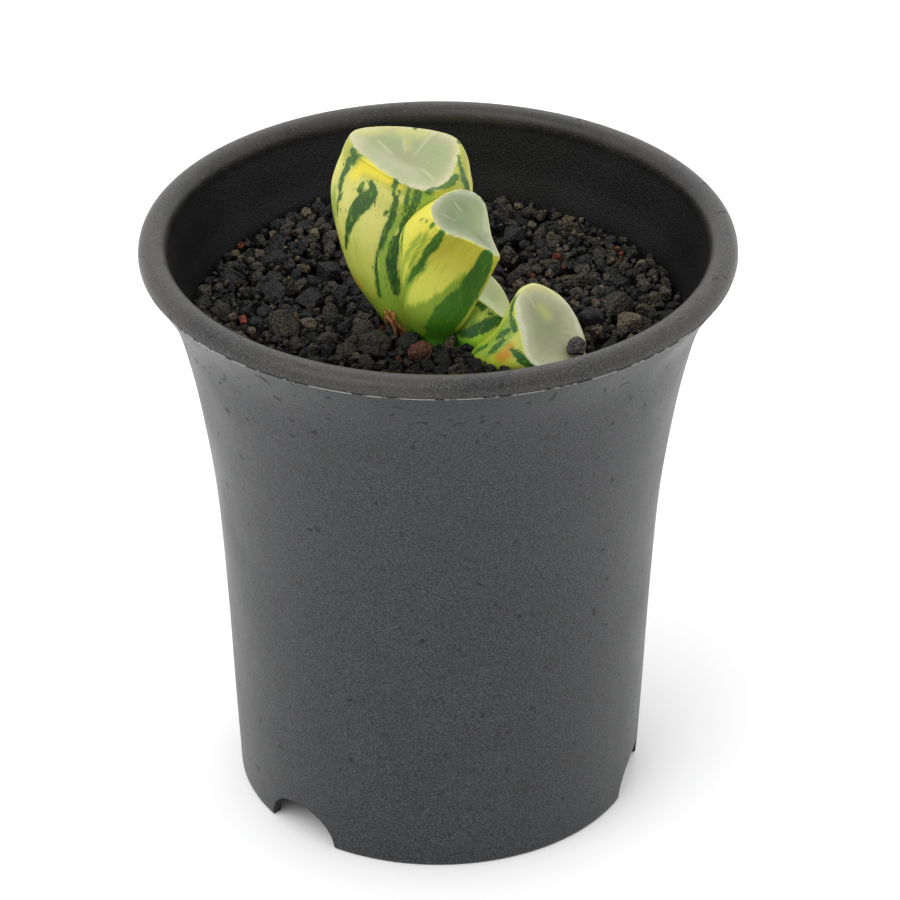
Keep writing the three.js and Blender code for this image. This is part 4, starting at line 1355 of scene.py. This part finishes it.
def broken_lava(settings, name, stops):
    """Crushed lava and pumice, broken and sieved, slightly damp. The eye sees matte, porous, near-black
    grains among brown and reddish ones, with rare glints of crystal. The colour holds painted shade in
    the pores, low in the pile and in front of the plant, and the glints are painted highlights."""
    made, add = new_material(name)
    place = add("TexCoord", give="Object")
    own = add("Attribute", give="Fac", attribute_name="tone")
    # Pores are 0.1 to 0.4 mm across
    pores = add("TexVoronoi", {"Vector": place, "Scale": 1 / (0.38 * MM)}, give="Distance")
    crumb, dust = (
        add("TexNoise", {"Vector": place, "Scale": 1 / (width * MM), "Detail": detail})
        for width, detail in ((0.3, 4.0), (1.1, 3.0))
    )
    colour = add("ValToRGB", (own,), stops)
    shade = add("MapRange", (crumb, 0.3, 0.7, 0.2, 1.9))
    # Pores are darker: painted shade in the pits
    pit_shade = add("MapRange", (pores, 0, 0.5, 0.2, 1.2))
    shade = add("Math", (shade, pit_shade), operation="MULTIPLY")
    # Grains below the top of the pile are darker, partly damp and partly painted shade between grains
    # Grains in front of the plant are darker by painted shade from the pot's wall and lip
    height, depth = (add("SeparateXYZ", (place,), give=axis) for axis in "ZY")
    damp = add("MapRange", (height, 65 * MM, 66.8 * MM, 0.35, 1.1))
    painted_front_shade = add("MapRange", (depth, -14 * MM, 2 * MM, 0.36, 1.15))
    damp = add("Math", (damp, painted_front_shade), operation="MULTIPLY")
    # Then dust, and pale glints: painted highlights where small crystals catch the light
    for light, ends, tint in (
        (shade, (dust, 0.55, 0.75, 0, 0.3), settings.dust),
        (damp, (crumb, 0.74, 0.77, 0, 0.8), settings.glint),
    ):
        colour = add("VectorMath", {0: colour, "Scale": light}, operation="SCALE")
        share = add("MapRange", ends)
        colour = add("Mix", {0: share, 6: colour, 7: tint}, give=2, data_type="RGBA")
    rough = add("MapRange", (dust, 0, 1, 0.62, 0.95))
    pits = add("Bump", {"Height": pores, "Distance": 0.22 * MM, "Strength": 1.0})
    bump = add("Bump", {"Height": crumb, "Distance": 0.25 * MM, "Strength": 1.0, "Normal": pits})
    shader = add(
        "BsdfPrincipled",
        {"Base Color": colour, "Roughness": rough, "IOR": 1.5, "Specular IOR Level": 0.2, "Normal": bump},
    )
    add("OutputMaterial", (shader,))
    return made


def copy_of(node, name):
    """A copy of a CAD node's mesh in a new object, with its loose triangles merged."""
    piece = new_object(name, frame["nodes"][node].data.copy())
    if piece.data.has_custom_normals:
        bpy.ops.mesh.customdata_custom_splitnormals_clear()
    return merge(piece, COARSE_MERGE, outwards=False)


class HaworthiaGrit(bpy.types.PropertyGroup):
    """Colours of the grit and the pebbles"""

    seed: bpy.props.IntProperty(
        name="Seed", description="Seed of the random draws that pile the grains", default=7, min=0,
    )
    charcoal: colour_setting("Charcoal", "Colour of most grains", "212222")
    brown: colour_setting("Brown grey", "Colour of the browner grains", "35312b")
    tan: colour_setting("Tan", "Colour of the few pale grains", "4f473a")
    red: colour_setting("Red brown", "Colour of the few red grains", "5f3022")
    dust: colour_setting("Dust", "Colour of the dust on the grains", "393733")
    # Glints are painted highlights of small crystals
    glint: colour_setting("Glint", "Colour of the small crystals", "8f8d88")


# Each pebble: its node, its slot, and the colours of its darkest and palest stone. It is divided and smoothed
# this many times, and its skin is moved by noise and by pits, in millimetres. The scales are per millimetre,
# and a pit is this wide on its own scale.
PEBBLES = [
    ("pebble_grey", "grey_pebble", "302f29", "3d3b34"),
    ("pebble_side", "grey_pebble", "54534e", "646360"),
    ("pebble_red", "red_lava", "573529", "734b3d"),
]
PEBBLE_FINER = 3
PEBBLE_SOFTER = 6
PEBBLE_ROUGHNESS = 0.4
PEBBLE_ROUGH_SCALE = 0.8
PEBBLE_PITS = 0.8
PEBBLE_PIT_SCALE = 1.3
PEBBLE_PIT_WIDTH = 0.5


class HAWORTHIA_OT_pebbles(bpy.types.Operator):
    """Roughen the three pebbles that stand out in the grit"""

    bl_idname = "haworthia.pebbles"
    bl_label = "Set the pebbles"

    def execute(self, context):
        settings = context.scene.haworthia_grit
        for node, slot, dark, light in PEBBLES:
            pebble = copy_of(node, node + "_stone")
            modify(pebble, "SUBSURF", subdivision_type="SIMPLE", levels=PEBBLE_FINER)
            modify(pebble, "SMOOTH", iterations=PEBBLE_SOFTER)
            low, high = (Vector(corner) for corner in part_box(node))
            middle = (low + high) / 2
            for vertex in pebble.data.vertices:
                place = vertex.co / MM
                rough = PEBBLE_ROUGHNESS * noise.fractal(place * PEBBLE_ROUGH_SCALE, 1.0, 2.0, 5)
                from_pit = noise.voronoi(place * PEBBLE_PIT_SCALE)[0][0]
                pit = PEBBLE_PITS * (min(from_pit, PEBBLE_PIT_WIDTH) - PEBBLE_PIT_WIDTH)
                moved = vertex.co + (vertex.co - middle).normalized() * (rough + pit) * MM
                vertex.co = [min(max(moved[k], low[k]), high[k]) for k in range(3)]
            give_points(pebble.data, "tone", "FLOAT", np.full(len(pebble.data.vertices), 0.5))
            stone = broken_lava(settings, node + "_lava", [(0, linear(dark)), (1, linear(light))])
            settle(smooth(pebble), node + "_stone", slot, stone, node)
        return {"FINISHED"}


class HAWORTHIA_OT_grit(bpy.types.Operator):
    """Cut the bed of grit level, pile loose grains on it, and let a few show in the drain holes"""

    bl_idname = "haworthia.grit"
    bl_label = "Pour the grit"

    def execute(self, context):
        settings = context.scene.haworthia_grit
        random = np.random.default_rng(settings.seed)
        charcoal, brown, tan, red = settings.charcoal, settings.brown, settings.tan, settings.red
        # Half of the grains are charcoal, a third are brown, and few are tan or red
        stops = [(0.0, charcoal), (0.5, charcoal), (0.6, brown), (0.88, brown), (0.91, tan), (0.984, tan),
                 (0.989, red), (1.0, red)]
        stone = broken_lava(settings, "broken_lava", stops)
        bed = copy_of("grit", "grit_bed")
        bpy.ops.object.mode_set(mode="EDIT")
        bpy.ops.mesh.select_all(action="SELECT")
        bpy.ops.mesh.bisect(
            plane_co=(0, 0, BED_LEVEL * MM), plane_no=(0, 0, 1), use_fill=True, clear_outer=True,
        )
        bpy.ops.object.mode_set(mode="OBJECT")
        settle(bed, "grit_bed", "lava_grit", stone, "grit")
        clear_of = []
        for piece in context.scene.objects:
            if piece.name.endswith(("_skin", "_stone", "_strand")):
                places = places_of(piece.data)
                clear_of.append((places.min(0), places.max(0), tree_of(piece)))
        wall_heights = np.linspace(BED_LEVEL - 2, OUTSIDE[-1][1], WALL_STEPS)
        wall = (wall_heights, inside_radius(wall_heights))
        heights = np.full((2 * CELLS + 1, 2 * CELLS + 1), BED_LEVEL)
        coarse, medium, fine = (lumps(random, LUMP_KINDS, subdivisions) for subdivisions in (3, 2, 1))
        # Grains that rest on the floor over the drain holes
        over_holes = []
        for x, y in drain_holes():
            for k in range(HOLE_GRAINS):
                way = random.uniform(0, 2) + 2 * math.pi * k / HOLE_GRAINS
                over_holes.append((
                    x + HOLE_GRAIN_AT * math.cos(way), y + HOLE_GRAIN_AT * math.sin(way),
                    FLOOR_TOP + HOLE_GRAIN_UP, random.uniform(*HOLE_GRAIN_SIZES),
                ))
        placed = [pile_up(random, heights, kind, clear_of, wall) for kind in (STONES, *CHIPS, FINES)]
        chips = np.concatenate([np.array(over_holes), placed[1], placed[2]])
        half = len(chips) // 2
        for name, group, shapes in (
            ("grit_stones", placed[0], coarse), ("grit_chips_a", chips[:half], medium),
            ("grit_chips_b", chips[half:], medium), ("grit_fines", placed[3], fine),
        ):
            piece = grains(name, random, group, shapes)
            settle(piece, name, "lava_grit", stone, "grit")
        return {"FINISHED"}


class HaworthiaStage(bpy.types.PropertyGroup):
    """Floor and lights"""

    sky: bpy.props.FloatProperty(
        name="Sky", description="Strength of the white room light", default=1.4, min=0,
    )
    dim_side: bpy.props.FloatProperty(
        name="Dim side", description="Share of the room light that comes from the front",
        default=0.62, min=0, max=1,
    )
    key: bpy.props.FloatProperty(
        name="Key light", description="Power of the large soft light, in watts", default=5.0, min=0,
    )
    floor: colour_setting("Floor", "Colour of the floor", "fcfcfc")


# Camera: fitted to the rim, the foot and the sides of the pot
CAMERA_AT = (0, -546.008, 375.356)
CAMERA_AIM = (1.4826, 0, 46.624)
CAMERA_LENS = 198.95
SENSOR_WIDTH = 36

# In metres: the side of the floor, and the place and width of the large soft light
FLOOR_SIDE = 8
KEY_AT = (-0.55, -0.6, 1.0)
KEY_WIDTH = 0.9


class HAWORTHIA_OT_stage(bpy.types.Operator):
    """Set the floor, the room light, the large soft light and the camera"""

    bl_idname = "haworthia.stage"
    bl_label = "Set the stage"

    def execute(self, context):
        settings = context.scene.haworthia_stage
        scene = context.scene
        scene.view_settings.view_transform = "Standard"
        bpy.ops.mesh.primitive_plane_add(size=FLOOR_SIDE, location=(0, 0, 0))
        floor = context.object
        floor.name = "floor"
        paper, add = new_material("matte_white_paper")
        looks = {"Base Color": settings.floor, "Roughness": 0.7, "Specular IOR Level": 0.2}
        add("OutputMaterial", (add("BsdfPrincipled", looks),))
        floor.data.materials.append(paper)
        world = bpy.data.worlds.new("white_room")
        world.use_nodes = True
        tree = world.node_tree
        add = partial(add_node, tree)
        background = tree.nodes["Background"]
        background.inputs["Color"].default_value = (1, 1, 1, 1)
        # The room is dimmer in front of the pot than behind it
        way = add("TexCoord", give="Generated")
        ahead = add("SeparateXYZ", (way,), give="Y")
        ends = (ahead, -0.8, 0.1, settings.sky * settings.dim_side, settings.sky)
        strength = add("MapRange", ends, interpolation_type="SMOOTHSTEP")
        tree.links.new(strength, background.inputs["Strength"])
        scene.world = world
        bpy.ops.object.light_add(type="AREA", location=KEY_AT)
        key = context.object
        key.data.shape = "DISK"
        key.data.size = KEY_WIDTH
        key.data.energy = settings.key
        key.rotation_euler = (-key.location).to_track_quat("-Z", "Y").to_euler()
        bpy.ops.object.camera_add(location=Vector(CAMERA_AT) * MM)
        camera = context.object
        camera.data.lens = CAMERA_LENS
        camera.data.sensor_width = SENSOR_WIDTH
        look = (Vector(CAMERA_AIM) - Vector(CAMERA_AT)) * MM
        camera.rotation_euler = look.to_track_quat("-Z", "Y").to_euler()
        camera.data.clip_start = 0.01
        scene.camera = camera
        return {"FINISHED"}


class HAWORTHIA_PT_sidebar(bpy.types.Panel):
    """Lists the settings and the steps"""

    bl_label = "Potted haworthia"
    bl_idname = "HAWORTHIA_PT_sidebar"
    bl_space_type = "VIEW_3D"
    bl_region_type = "UI"
    bl_category = "Haworthia"

    def draw(self, context):
        for group, _, operators in STEPS:
            box = self.layout.box()
            settings = getattr(context.scene, group)
            for name in settings.__annotations__:
                box.prop(settings, name)
            for operator in operators:
                box.operator(operator.bl_idname)


# Each group of settings under its name in the scene, with the operators that use it, in the order of work
STEPS = [
    ("haworthia_pot", HaworthiaPot, [HAWORTHIA_OT_pot]),
    ("haworthia_leaves", HaworthiaLeaves, [HAWORTHIA_OT_leaves]),
    ("haworthia_base", HaworthiaBase, [HAWORTHIA_OT_sheath, HAWORTHIA_OT_roots]),
    ("haworthia_grit", HaworthiaGrit, [HAWORTHIA_OT_pebbles, HAWORTHIA_OT_grit]),
    ("haworthia_stage", HaworthiaStage, [HAWORTHIA_OT_stage]),
]


def register():
    for name, group, operators in STEPS:
        for each in (group, *operators):
            bpy.utils.register_class(each)
        setattr(bpy.types.Scene, name, bpy.props.PointerProperty(type=group))
    bpy.utils.register_class(HAWORTHIA_PT_sidebar)


def unregister():
    bpy.utils.unregister_class(HAWORTHIA_PT_sidebar)
    for name, group, operators in reversed(STEPS):
        delattr(bpy.types.Scene, name)
        for each in (*operators, group):
            bpy.utils.unregister_class(each)


def main():
    register()
    for _, _, operators in STEPS:
        for operator in operators:
            family, step = operator.bl_idname.split(".")
            getattr(getattr(bpy.ops, family), step)()


if __name__ == "__main__":
    main()
